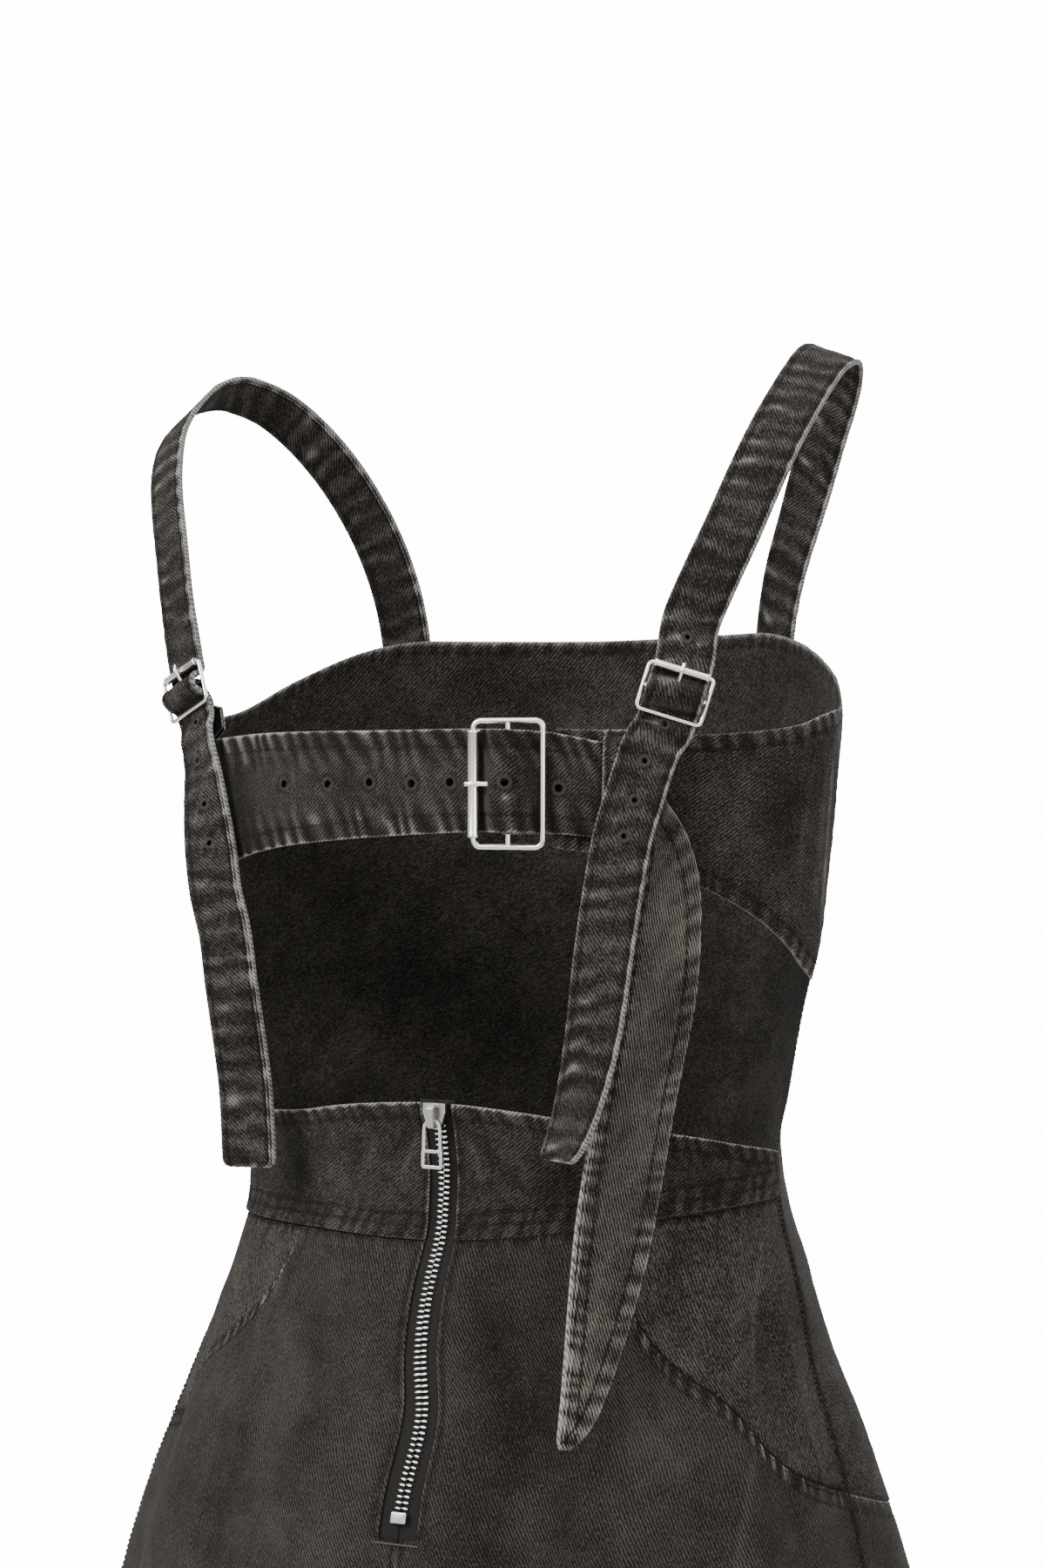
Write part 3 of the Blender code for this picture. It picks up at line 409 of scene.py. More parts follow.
class Nodes:
    """Adds nodes to a tree and links them, for materials and for geometry."""

    def __init__(self, tree: bpy.types.NodeTree) -> None:
        """Takes the tree."""
        self.tree = tree

    def feed(self, socket: Any, value: Any) -> None:
        """Links an output to an input socket, or sets the input's own value."""
        if isinstance(value, bpy.types.NodeSocket):
            self.tree.links.new(value, socket)
        else:
            socket.default_value = value

    def add(self, kind: str, inputs: dict[Any, Any] | None = None, **settings: Any) -> Any:
        """Adds a node.

        Args:
            kind: Blender's name of the node's type.
            inputs: Value or output socket for each input, by name or number.
            settings: Properties of the node.

        Returns:
            The node.
        """
        node = self.tree.nodes.new(kind)
        for name, value in settings.items():
            setattr(node, name, value)
        for key, value in (inputs or {}).items():
            self.feed(node.inputs[key], value)
        return node

    def out(self, kind: str, inputs: dict[Any, Any] | None = None, **settings: Any) -> Any:
        """First output of a new node, added as by add."""
        return self.add(kind, inputs, **settings).outputs[0]

    def maths(self, operation: str, *values: Any, clamp: bool = False) -> Any:
        """Math node's output."""
        return self.out("ShaderNodeMath", dict(enumerate(values)), operation=operation,
                        use_clamp=clamp)

    def total(self, first: Any, *values: Any) -> Any:
        """Sum of values and sockets."""
        for value in values:
            first = self.maths("ADD", first, value)
        return first

    def centred(self, value: Any, amount: float) -> Any:
        """How far a value is over its middle of 0.5, times an amount."""
        return self.maths("MULTIPLY", self.maths("SUBTRACT", value, 0.5), amount)

    def mixed(self, amount: Any, first: Any, second: Any) -> Any:
        """Mix of two colours."""
        return self.add("ShaderNodeMix", {0: amount, 6: first, 7: second},
                        data_type="RGBA").outputs[2]

    def noise(self, place: Any, scale: float, detail: float = 2.0, rough: float = 0.5) -> Any:
        """Noise texture's value."""
        return self.out("ShaderNodeTexNoise", {"Vector": place, "Scale": scale,
                                               "Detail": detail, "Roughness": rough})


class Surface(Nodes):
    """A new material's tree, with its Principled shader."""

    def __init__(self, name: str) -> None:
        """Makes the material."""
        self.material = bpy.data.materials.new(name)
        self.material.use_nodes = True
        super().__init__(self.material.node_tree)
        self.shader = self.tree.nodes["Principled BSDF"]

    def shade(self, inputs: dict[str, Any]) -> None:
        """Sets or links inputs of the shader, by name."""
        for name, value in inputs.items():
            self.feed(self.shader.inputs[name], value)

    def bump(self, height: Any, strength: float, distance: float) -> Any:
        """Normal of a surface with small heights on it."""
        return self.out("ShaderNodeBump", {"Height": height, "Strength": strength,
                                           "Distance": distance})


def grey(level: float, warmth: float = 0.05) -> tuple[float, float, float, float]:
    """A slightly warm grey, linear."""
    return (level * (1 + warmth), level, level * (1 - warmth * 1.1), 1.0)


@dataclass(frozen=True)
class Denim:
    """Washed black twill, worn light on its ridges and edges, darkened by painted shade."""

    name: str
    dark: float = 0.005
    light: float = 0.075
    ribs: float = 35.0      # degrees of the twill lines on the weave map
    pitch: float = 1.4
    worn: float = 0.30
    specks: float = 0.25
    twill: float = 0.40
    grain: float = 3.0
    seed: float = 0.0

    def material(self) -> bpy.types.Material:
        """Builds the material."""
        tree = Surface(self.name)
        weave = tree.out("ShaderNodeUVMap", uv_map="weave")
        flat = tree.out("ShaderNodeMapping", {"Vector": weave, "Location": (self.seed,) * 3,
                                              "Rotation": (0, 0, math.radians(self.ribs))})
        sway = tree.centred(tree.noise(flat, 0.35), 1.1)
        across = tree.maths("ADD", tree.add("ShaderNodeSeparateXYZ", {0: flat}).outputs[1], sway)
        wave = tree.maths("SINE", tree.maths("MULTIPLY", across, 2 * math.pi / self.pitch))
        rib = tree.maths("MULTIPLY_ADD", wave, 0.5, 0.5)
        slubs = tree.out("ShaderNodeMapping", {"Vector": flat, "Scale": (0.5, 1.3, 1.0)})
        fleck = tree.noise(slubs, 1.3, 3.0, 0.8)
        patch = tree.noise(weave, 0.022, 4.0, 0.6)
        cloud = tree.noise(weave, 0.11)
        wear, shade = (tree.add("ShaderNodeAttribute", attribute_name=name).outputs["Fac"]
                       for name in ("wear", "shade"))
        tone = tree.total(
            tree.centred(fleck, self.grain), tree.centred(patch, 0.75),
            tree.centred(cloud, 0.35),
            tree.maths("MULTIPLY", rib, tree.maths("MULTIPLY_ADD", wear, 0.8, self.twill)),
            tree.maths("MULTIPLY", wear, 0.45), -0.08)
        # painted shade: the shade attribute darkens the tone
        tone = tree.maths("SUBTRACT", tone, tree.maths("MULTIPLY", shade, 0.75), clamp=True)
        cloth = tree.mixed(tone, grey(self.dark, 0.16), grey(self.light, 0.11))
        bright = tree.maths("SUBTRACT", tree.noise(weave, 0.8), 0.58, clamp=True)
        speck = tree.maths("MULTIPLY", bright, self.specks * 14.0, clamp=True)
        cloth = tree.mixed(speck, cloth, grey(self.light * 0.62, 0.34))
        worn = tree.maths("MULTIPLY", tree.maths("SUBTRACT", wear, 0.45, clamp=True),
                          tree.maths("MULTIPLY_ADD", fleck, 2.4, 0.3), clamp=True)
        worn = tree.maths("MULTIPLY", worn, tree.maths("MULTIPLY_ADD", rib, 0.85, 0.4))
        height = tree.total(tree.maths("MULTIPLY", rib, 0.55), tree.maths("MULTIPLY", fleck, 0.9))
        tree.shade({"Base Color": tree.mixed(worn, cloth, grey(self.worn, 0.035)),
                    "Normal": tree.bump(height, 0.6, 0.0004),
                    "Roughness": tree.maths("MULTIPLY_ADD", fleck, -0.12, 0.95),
                    "Sheen Weight": 0.03, "Sheen Roughness": 0.5,
                    "Specular IOR Level": 0.08})
        return tree.material


@dataclass(frozen=True)
class Metal:
    """Nickel, lightly scratched and stained."""

    name: str
    level: float = 0.62
    rough: float = 0.3
    stain: float = 0.12

    def material(self) -> bpy.types.Material:
        """Builds the material."""
        tree = Surface(self.name)
        place = tree.add("ShaderNodeTexCoord").outputs["Object"]
        fine, broad = tree.noise(place, 900.0, 3.0), tree.noise(place, 160.0, 4.0)
        stained = tree.maths("MULTIPLY", broad, self.stain * 3)
        tree.shade({"Base Color": tree.mixed(stained, grey(self.level, 0.025),
                                             grey(self.level * 0.45, 0.06)),
                    "Roughness": tree.maths("MULTIPLY_ADD", fine, 0.12, self.rough - 0.06),
                    "Normal": tree.bump(fine, 0.03, 0.0002), "Metallic": 1.0})
        return tree.material


@dataclass(frozen=True)
class Yarn:
    """Thread or woven tape: matte, with a fine twist."""

    name: str
    level: float = 0.02
    light: float = 0.05
    scale: float = 2600.0
    warmth: float = 0.10
    gloss: float = 0.2

    def material(self) -> bpy.types.Material:
        """Builds the material."""
        tree = Surface(self.name)
        twist = tree.noise(tree.add("ShaderNodeTexCoord").outputs["Object"], self.scale)
        tree.shade({"Base Color": tree.mixed(twist, grey(self.level, self.warmth),
                                             grey(self.light, self.warmth)),
                    "Normal": tree.bump(twist, 0.4, 0.0002), "Roughness": 0.85,
                    "Specular IOR Level": self.gloss})
        return tree.material


class Finish(Enum):
    """Every finish of the dress."""

    BELT = Denim("denim_belt", ribs=-45, light=0.067, twill=0.52)
    BAND = Denim("denim_band", ribs=-38, light=0.072, worn=0.26, seed=31)
    WING = Denim("denim_wing", ribs=-35, light=0.100, worn=0.22, twill=0.36, seed=57)
    STRAP = Denim("denim_strap", ribs=50, light=0.085, seed=11)
    TAIL = Denim("denim_tail", ribs=68, light=0.235, worn=0.32, twill=0.5, grain=1.1, seed=83)
    SKIRT = Denim("denim_skirt", ribs=60, light=0.060, worn=0.22, specks=0.5, twill=0.6,
                  seed=120)
    HIP = Denim("denim_hip", ribs=60, light=0.092, worn=0.22, specks=0.5, twill=0.5,
                seed=151)
    FRONT = Denim("denim_front", ribs=38, light=0.078, worn=0.22, seed=191)
    TONAL = Yarn("thread_dark", level=0.004, light=0.020)
    # eyelet thread: dark, its light twist flecks partly painted glints
    LOOP = Yarn("thread_eyelet", level=0.003, light=0.09, scale=1400.0)
    EDGE = Yarn("thread_worn", level=0.02, light=0.11)
    TAPE = Yarn("zip_tape_weave", level=0.003, light=0.011, scale=1500.0, warmth=0.14)
    # black discs of painted shade that stand for the eyelet holes
    HOLE = Yarn("eyelet_hole", level=0.001, light=0.002, gloss=0.0)
    SATIN = Metal("satin_nickel_worn", level=0.80, rough=0.24, stain=0.12)
    SLIDER = Metal("slider_nickel", level=0.50, rough=0.30, stain=0.2)
    BRIGHT = Metal("bright_nickel_teeth", level=0.82, rough=0.22, stain=0.06)

    def get(self) -> bpy.types.Material:
        """The finish's material, made once."""
        found = bpy.data.materials.get(self.value.name)
        return found or self.value.material()


# ---------------------------------------------------------------- cloth shells

class Edge(Enum):
    """Sides of a cloth grid, seen from outside."""

    TOP = "top"
    BOTTOM = "bottom"
    FIRST = "first"
    LAST = "last"


@dataclass(frozen=True)
class Sewing:
    """Sewing along one edge of a piece, with the puckers that it draws up.

    Attributes:
        edge: Which edge.
        rows: Distances of the stitch rows from it.
        pitch: From one pucker to the next.
        reach: How far in the puckers go.
        depth: How deep they are.
        light: How worn their crests are, and how dark the painted shade between them is.
        lean: Sideways shift of a pucker for each millimetre inwards.
        thread: Finish of the stitches, or none for a seam without visible thread.
        part: First and last fraction of the edge that is sewn.
        raw: How light the very edge is with wear, or below 0 how dark the painted shade along it
            is.
        ropes: Count of light strands beside each other along the edge.
        patches: How strong the worn patches beyond the last row are; they also deepen the painted
            shade between the puckers.
    """

    edge: Edge
    rows: tuple[float, ...] = (8.0,)
    pitch: float = 8.5
    reach: float = 9.0
    depth: float = 0.55
    light: float = 0.9
    lean: float = 0.25
    thread: Finish | None = Finish.TONAL
    part: tuple[float, float] = (0.0, 1.0)
    raw: float = 1.0
    ropes: int = 0
    patches: float = 0.0


@dataclass(frozen=True)
class Spot:
    """An eyelet on a piece: distances across and down it, and its size."""

    across: float
    down: float
    radius: float = 3.0


# Rims of one and of two layers: share of the wall, push outwards and shade of each line.
SINGLE_RIM: Rows = ((0.25, 0.12, 0.0), (0.5, 0.16, 0.0), (0.75, 0.12, 0.0))
DOUBLED_RIM: Rows = ((0.2, 0.2, 0.0), (0.5, -0.05, 1.0), (0.8, 0.2, 0.0))
ROPE = 1.6              # width of a light strand along an edge
DEEPEST = 0.55          # most of the wall that sewing and creases may press in


@dataclass
class ClothPiece:
    """One cloth piece as a grid of points with its wall, weave map, wear and painted shade.

    Attributes:
        name: Name of the CAD node that it stands for.
        inner: Inner face, rows by columns by 3, in millimetres.
        thickness: Wall, in millimetres.
        finish: Its denim.
        sewing: Sewing along its edges.
        spots: Its eyelets.
        crumple: Depth of its small uneven waves.
        doubled: Whether the edge shows two layers with a groove between them.
        slot: The record's material slot.
        seed: Seed of its unevenness.
        streaks: Worn marks, and dark marks of painted shade, between two places on the flat
            cloth:
        x, y to x, y, strength and width.
        flat: Place of each point on the flat cloth, x to the right and y up as seen from
            outside, or none for distances along the grid.
        ripples: Distance between cross ripples and how they lean, or none.
    """

    name: str
    inner: Array
    thickness: float
    finish: Finish
    sewing: tuple[Sewing, ...] = ()
    spots: tuple[Spot, ...] = ()
    crumple: float = 0.25
    doubled: bool = True
    slot: str = "washed_denim_doubled"
    seed: int = 1
    streaks: Rows = ()
    flat: Array | None = None
    ripples: tuple[float, float] | None = None
    outer: Array = field(init=False)
    wear: Array = field(init=False)
    shade: Array = field(init=False)

    def __post_init__(self) -> None:
        """Works out the outer face, how worn it is and its painted shade."""
        self.down, self.across = np.gradient(self.inner, axis=(0, 1))
        self.facing = unit(np.cross(self.across, self.down))
        self.u, self.v = travelled(self.inner, 1), travelled(self.inner, 0)
        if self.flat is None:
            self.flat = np.stack((-self.u, -self.v), -1)
        self.wear = 0.10 * self.uneven(23.0, 0) + 0.07 * self.uneven(7.0, 1)
        self.shade = 0.0 * self.u
        lift = -self.crumple * (0.5 + 0.5 * self.uneven(21.0, 2))
        lift -= self.crumple * 0.4 * (0.5 + 0.5 * self.uneven(6.0, 3))
        for number, row in enumerate(self.sewing):
            lift = lift + self.sew(row, number)
        for spot in self.spots:
            lift = self.sink(spot, lift)
        if self.ripples:
            lift = lift + self.ripple(*self.ripples)
        for mark in self.streaks:
            self.streak(*mark)
        lift = np.maximum(lift, -DEEPEST * self.thickness)
        self.outer = self.inner + self.facing * (self.thickness + lift)[..., None]
        self.wear = np.clip(self.wear, 0, 1)
        self.shade = np.clip(self.shade, 0, 1)

    def uneven(self, scale: float, number: int) -> Array:
        """Noise over the piece, with patches of a size and a number of its own."""
        return mottle(self.u, self.v, scale, self.seed + number)

    def inwards(self, edge: Edge) -> tuple[Array, Array]:
        """Distances along an edge and in from it."""
        u, v = self.u, self.v
        ways = {Edge.TOP: (u[:1] + 0 * v, v), Edge.BOTTOM: (u[-1:] + 0 * v, v[-1:] - v),
                Edge.FIRST: (v[:, :1] + 0 * u, u), Edge.LAST: (v[:, -1:] + 0 * u, u[:, -1:] - u)}
        return ways[edge]

    def sew(self, row: Sewing, number: int) -> Array:
        """Marks one edge's sewing on the wear and the painted shade.

        Args:
            row: The sewing.
            number: Its place in the list, for a seed of its own.

        Returns:
            How far it lifts each point.
        """
        along, away = self.inwards(row.edge)
        seed = self.seed + 20 + number * 5
        gone = along / along.max()
        inside = np.clip((gone - row.part[0]) * 60 + 0.5, 0, 1)
        inside *= np.clip((row.part[1] - gone) * 60 + 0.5, 0, 1)
        band = row.rows[-1] if row.rows else row.reach * 0.3
        wobble = mottle(along, away * 0.4, row.pitch * 1.4, seed) * row.pitch * 0.5
        crest = 0.5 + 0.5 * np.sin((along + wobble + row.lean * away)
                                   * 2 * np.pi / row.pitch)
        power = 0.6 + 0.4 * mottle(along, away * 0.3, row.pitch * 2.3, seed + 1)
        hem = inside / (1 + np.exp(np.clip((away - band) * 2.0, -40, 40)))
        fade = np.clip((row.reach - away) / (row.reach - band), 0, 1) ** 1.3 * (inside - hem)
        blobs = 0.5 + 0.5 * mottle(along * 1.5, away * 0.9, row.pitch * 0.8, seed + 2)
        blobs = blobs ** 2 * (0.4 + 0.6 * crest)
        grooves = sum((bell(away - d, 0.65) for d in row.rows), 0 * away) * inside
        self.wear += row.light * (crest * hem * power * (0.5 + 0.4 * np.exp(-away / 3.5))
                                  + np.minimum(blobs * fade * (0.5 + 0.5 * power), 0.2))
        soft = crest * (0.7 + 0.3 * mottle(along, away, 9.0, seed + 3))
        self.wear += row.patches * soft * np.minimum(fade * 1.6, 1)
        # painted shade in the stitch grooves and between the puckers' crests
        dips = (1 - crest) * (hem + 0.7 * fade) * row.light
        self.shade += 0.45 * grooves + (0.38 + 0.8 * row.patches) * dips
        self.wear += max(row.raw, 0) * 0.7 * bell(away, 0.6) * inside
        # painted shade along a seam's edge, where raw is below 0
        self.shade += max(-row.raw, 0) * bell(away, 1.6) * inside
        return (-row.depth * (1 - crest * (0.6 + 0.4 * blobs)) * (hem + 0.6 * fade)
                - 0.35 * grooves - 0.25 * bell(away, 0.5) * inside
                + self.twist_ropes(row.ropes, away, inside))

    def twist_ropes(self, count: int, away: Array, inside: Array) -> Array:
        """Marks the worn light strands along an edge, with painted shade in the grooves between
        them.

        Args:
            count: How many lie beside each other.
            away: Distances in from the edge.
            inside: 1 where the edge is sewn.

        Returns:
            How far they lift each point.
        """
        lift = 0.0 * away
        for k in range(count):
            strand = bell(away - 0.8 - ROPE * k, 0.6)
            groove = bell(away - ROPE * (k + 1), 0.35)
            self.wear += 0.62 * strand * inside
            # painted shade in the groove beside each strand
            self.shade += 0.8 * groove * inside
            lift = lift + (0.25 * strand - 0.3 * groove) * inside
        return lift

    def sink(self, spot: Spot, lift: Array) -> Array:
        """Marks an eyelet: a worn halo round it and painted shade over its sunk middle.

        Args:
            spot: The eyelet.
            lift: How far each point is lifted without it.

        Returns:
            The lift with it.
        """
        away = np.hypot(self.u - spot.across, self.v - spot.down)
        ring = bell(away - spot.radius * 2.0, 1.9)
        self.wear += 0.34 * ring * (0.5 + 0.5 * self.uneven(3.5, 9))
        # painted shade over the eyelet's dent
        self.shade += 0.7 * bell(away, spot.radius * 1.1)
        return lift - 0.7 * bell(away, spot.radius * 0.8) + 0.15 * ring

    def ripple(self, pitch: float, lean: float) -> Array:
        """Marks cross ripples of a strap, worn light on their crests, with painted shade in their
        troughs.

        Args:
            pitch: From one ripple to the next.
            lean: Shift along the strap for each millimetre across it.

        Returns:
            How far they lift each point.
        """
        wide, down = self.u.max(), -self.flat[..., 1]
        bend = mottle(down, self.u, pitch * 0.8, self.seed + 60) * pitch * 0.28
        wave = 0.5 + 0.5 * np.sin((down - lean * self.u + bend) * 2 * np.pi / pitch)
        first, last = bell(self.u - 0.22 * wide, 5.0), bell(self.u - 0.74 * wide, 5.4)
        power = 0.55 + 0.45 * mottle(down, self.u * 0.8, 13.0, self.seed + 61)
        place = np.maximum(0.8 * first, last) * power + 0.3 * (1 - first) * (1 - last)
        self.wear += 0.78 * wave ** 1.6 * place
        # painted shade in the troughs
        self.shade += 0.42 * (1 - wave) * place
        return -0.45 * (1 - wave) * np.maximum(first, last)

    def streak(self, u0: float, v0: float, u1: float, v1: float, strength: float,
               width: float) -> None:
        """Lightens a soft mark with wear, or darkens it with painted shade.

        Args:
            u0: Place of its start on the flat cloth, to the right.
            v0: The same, up.
            u1: Place of its end, to the right.
            v1: The same, up.
            strength: How light it is, or below 0 how dark its painted shade is.
            width: Half its width.
        """
        x, y = self.flat[..., 0], self.flat[..., 1]
        du, dv = u1 - u0, v1 - v0
        length = math.hypot(du, dv)
        t = ((x - u0) * du + (y - v0) * dv) / length ** 2
        away = ((x - u0) * dv - (y - v0) * du) / length
        away = away + mottle(t * length, 0 * t, 30.0, self.seed + 77) * width * 0.6
        ends = np.clip(np.minimum(t, 1 - t) / 0.3, 0, 1)
        mark = abs(strength) * bell(away, width) * ends * ends * (3 - 2 * ends)
        mark = mark * (0.8 + 0.2 * mottle(x, y, 5.0, self.seed + 5))
        # light marks go to the wear, dark ones are painted shade
        side = self.wear if strength > 0 else self.shade
        side += mark

    def place(self, spot: Spot) -> tuple[Array, Array]:
        """Nearest point of the outer face to an eyelet's middle, and its facing."""
        miss = (self.u - spot.across) ** 2 + (self.v - spot.down) ** 2
        nearest = np.unravel_index(np.argmin(miss), miss.shape)
        return self.outer[nearest], self.facing[nearest]

    def stitch_lines(self) -> list[tuple[Finish, Array]]:
        """Finish and path of each stitch row."""
        lines = []
        for row in self.sewing:
            if row.thread is None:
                continue
            along, away = self.inwards(row.edge)
            level = row.edge in (Edge.TOP, Edge.BOTTOM)
            for distance in row.rows:
                miss = np.abs(away - distance)
                best = np.argmin(miss, axis=0 if level else 1)
                count = np.arange(len(best))
                where = (best, count) if level else (count, best)
                part = along[where] / along.max()
                keep = (part >= row.part[0]) & (part <= row.part[1]) & (miss[where] < 2.0)
                shift = self.slide(row.edge, where, distance - away[where])
                path = (self.outer[where] + shift + self.facing[where] * 0.12)[keep]
                if len(path) > 3:
                    lines.append((row.thread, path))
        return lines

    def slide(self, edge: Edge, where: tuple[Array, Array], short: Array) -> Array:
        """Moves grid points a little inwards from an edge, so that a row runs true.

        Args:
            edge: The edge.
            where: Rows and columns of the points.
            short: How far each is wanted inwards.

        Returns:
            The move of each point.
        """
        ways = {Edge.TOP: self.down, Edge.BOTTOM: -self.down, Edge.FIRST: self.across,
                Edge.LAST: -self.across}
        return unit(ways[edge])[where] * short[:, None]

    def build(self) -> bpy.types.Object:
        """Makes the closed shell with its map and attributes, in place of the CAD node."""
        rows, cols = self.u.shape
        index = np.arange(rows * cols).reshape(rows, cols)
        ring = np.concatenate((index[0, :-1], index[:-1, -1], index[-1, :0:-1], index[:0:-1, 0]))
        push = np.zeros_like(self.inner)
        down, across = unit(self.down), unit(self.across)
        push[0] -= down[0]
        push[-1] += down[-1]
        push[:, 0] -= across[:, 0]
        push[:, -1] += across[:, -1]
        push = unit(push).reshape(-1, 3)[ring]
        profile = DOUBLED_RIM if self.doubled else SINGLE_RIM
        outer, inner = self.outer.reshape(-1, 3), self.inner.reshape(-1, 3)
        rims = [outer[ring] * (1 - t) + inner[ring] * t + push * far for t, far, _ in profile]
        points = np.concatenate([outer, inner] + rims) * MM
        quads = np.stack((index[:-1, :-1], index[:-1, 1:], index[1:, 1:], index[1:, :-1]), -1)
        quads = quads.reshape(-1, 4)
        sides = [ring] + [2 * rows * cols + k * len(ring) + np.arange(len(ring))
                          for k in range(len(profile))] + [ring + rows * cols]
        walls = [np.stack((a, b, np.roll(b, -1), np.roll(a, -1)), -1)
                 for a, b in zip(sides, sides[1:])]
        faces = np.concatenate([quads, quads[:, ::-1] + rows * cols] + walls)
        made = shell_object(self.name + "_cloth", points, faces, self.finish.get())
        # rim lines are worn light; the groove of a doubled rim gets painted shade
        rim_wear = 0.95 if self.doubled else 0.45
        for name, face, rim in (("wear", self.wear, [rim_wear for _ in profile]),
                                ("shade", self.shade, [dark for _, _, dark in profile])):
            values = np.concatenate((face.ravel(), face.ravel(), np.repeat(rim, len(ring))))
            layer = made.data.attributes.new(name, "FLOAT", "POINT")
            layer.data.foreach_set("value", values.astype(np.float32))
        weave = self.flat.reshape(-1, 2)
        weave = np.concatenate([weave, weave] + [weave[ring]] * len(profile))
        chart = made.data.uv_layers.new(name="weave")
        chart.data.foreach_set("uv", weave[faces.ravel()].astype(np.float32).ravel())
        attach(made, "dress")
        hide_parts(self.name)
        return made

    def cut(self) -> tuple[tuple[float, float], float]:
        """Size of the flat cut (width, length) and its area, in metres."""
        width, length = self.u[:, -1].max() * MM, self.v[-1].max() * MM
        cell = np.linalg.norm(np.cross(self.across, self.down), axis=-1)
        area = (cell[:-1, :-1] + cell[1:, 1:]).sum() / 2 * MM * MM
        return (width, length), min(max(area, 0.31 * width * length), width * length)


def linked(name: str, data: Any) -> bpy.types.Object:
    """A new object in the scene."""
    made = bpy.data.objects.new(name, data)
    bpy.context.scene.collection.objects.link(made)
    return made


def shell_object(name: str, points: Array, faces: Array,
                 finish: bpy.types.Material) -> bpy.types.Object:
    """A smooth mesh object.

    Args:
        name: Name of the object.
        points: Its points, in metres.
        faces: Its quads, as numbers of points.
        finish: Its material.

    Returns:
        The object.
    """
    mesh = bpy.data.meshes.new(name)
    mesh.vertices.add(len(points))
    mesh.vertices.foreach_set("co", points.astype(np.float32).ravel())
    mesh.loops.add(faces.size)
    mesh.loops.foreach_set("vertex_index", faces.ravel().astype(np.int32))
    mesh.polygons.add(len(faces))
    mesh.polygons.foreach_set("loop_start", np.arange(0, faces.size, 4, dtype=np.int32))
    mesh.update(calc_edges=True)
    mesh.validate()
    mesh.shade_smooth()
    mesh.materials.append(finish)
    return linked(name, mesh)


def between(top: Array, bottom: Array, rows: int | Array) -> Array:
    """Angles and heights between a top and a bottom line, as for on_form."""
    steps = (np.linspace(0, 1, rows) if isinstance(rows, int) else rows)[:, None, None]
    return top[None] * (1 - steps) + bottom[None] * steps


def on_form(top: Array, bottom: Array, rows: int | Array, lift: Any = 0.0) -> Array:
    """Grid on the form between a top and a bottom line of (angle, z).

    Args:
        top: Upper line, from the wearer's right to left as seen from outside.
        bottom: Lower line with as many points.
        rows: Count of rows, or fractions from the top down.
        lift: Height over the form, as one number or for each grid point.

    Returns:
        The grid's points, in millimetres.
    """
    plan = between(top, bottom, rows)
    return FORM.point(plan[..., 0], plan[..., 1], lift)


def edge_line(angles: Array, rows: Rows, by_side: bool = True, shift: float = 0.0) -> Array:
    """Edge of a piece, as (angle, z).

    Args:
        angles: Degrees round the form.
        rows: Table of heights.
        by_side: Whether its rows lie at angles from the nearer side seam.
        shift: How far up the edge is moved.

    Returns:
        The line.
    """
    where = side_angle(angles) if by_side else angles
    return np.stack((angles, Table(rows).at(1, where) + shift), -1)


def panel(name: str, top: Array, bottom: Array, rows: int, finish: Finish,
          sewing: tuple[Sewing, ...], **more: Any) -> ClothPiece:
    """A piece that lies on the form between two lines.

    Args:
        name: Name of its CAD node.
        top: Upper line, from the wearer's right to left as seen from outside.
        bottom: Lower line with as many points.
        rows: Count of rows.
        finish: Its denim.
        sewing: Sewing along its edges.
        more: Other fields of the piece, DOUBLE being the wall unless doubled is False.

    Returns:
        The piece.
    """
    flat = FORM.chart(*np.moveaxis(between(top, bottom, rows), -1, 0))
    wall = DOUBLE if more.get("doubled", True) else DENIM
    return ClothPiece(name, on_form(top, bottom, rows), wall, finish, sewing, flat=flat, **more)


# Fields that every single-layer panel shares.
SINGLE: dict[str, Any] = {"doubled": False, "slot": "washed_denim"}


# ---------------------------------------------------------------- front and skirt

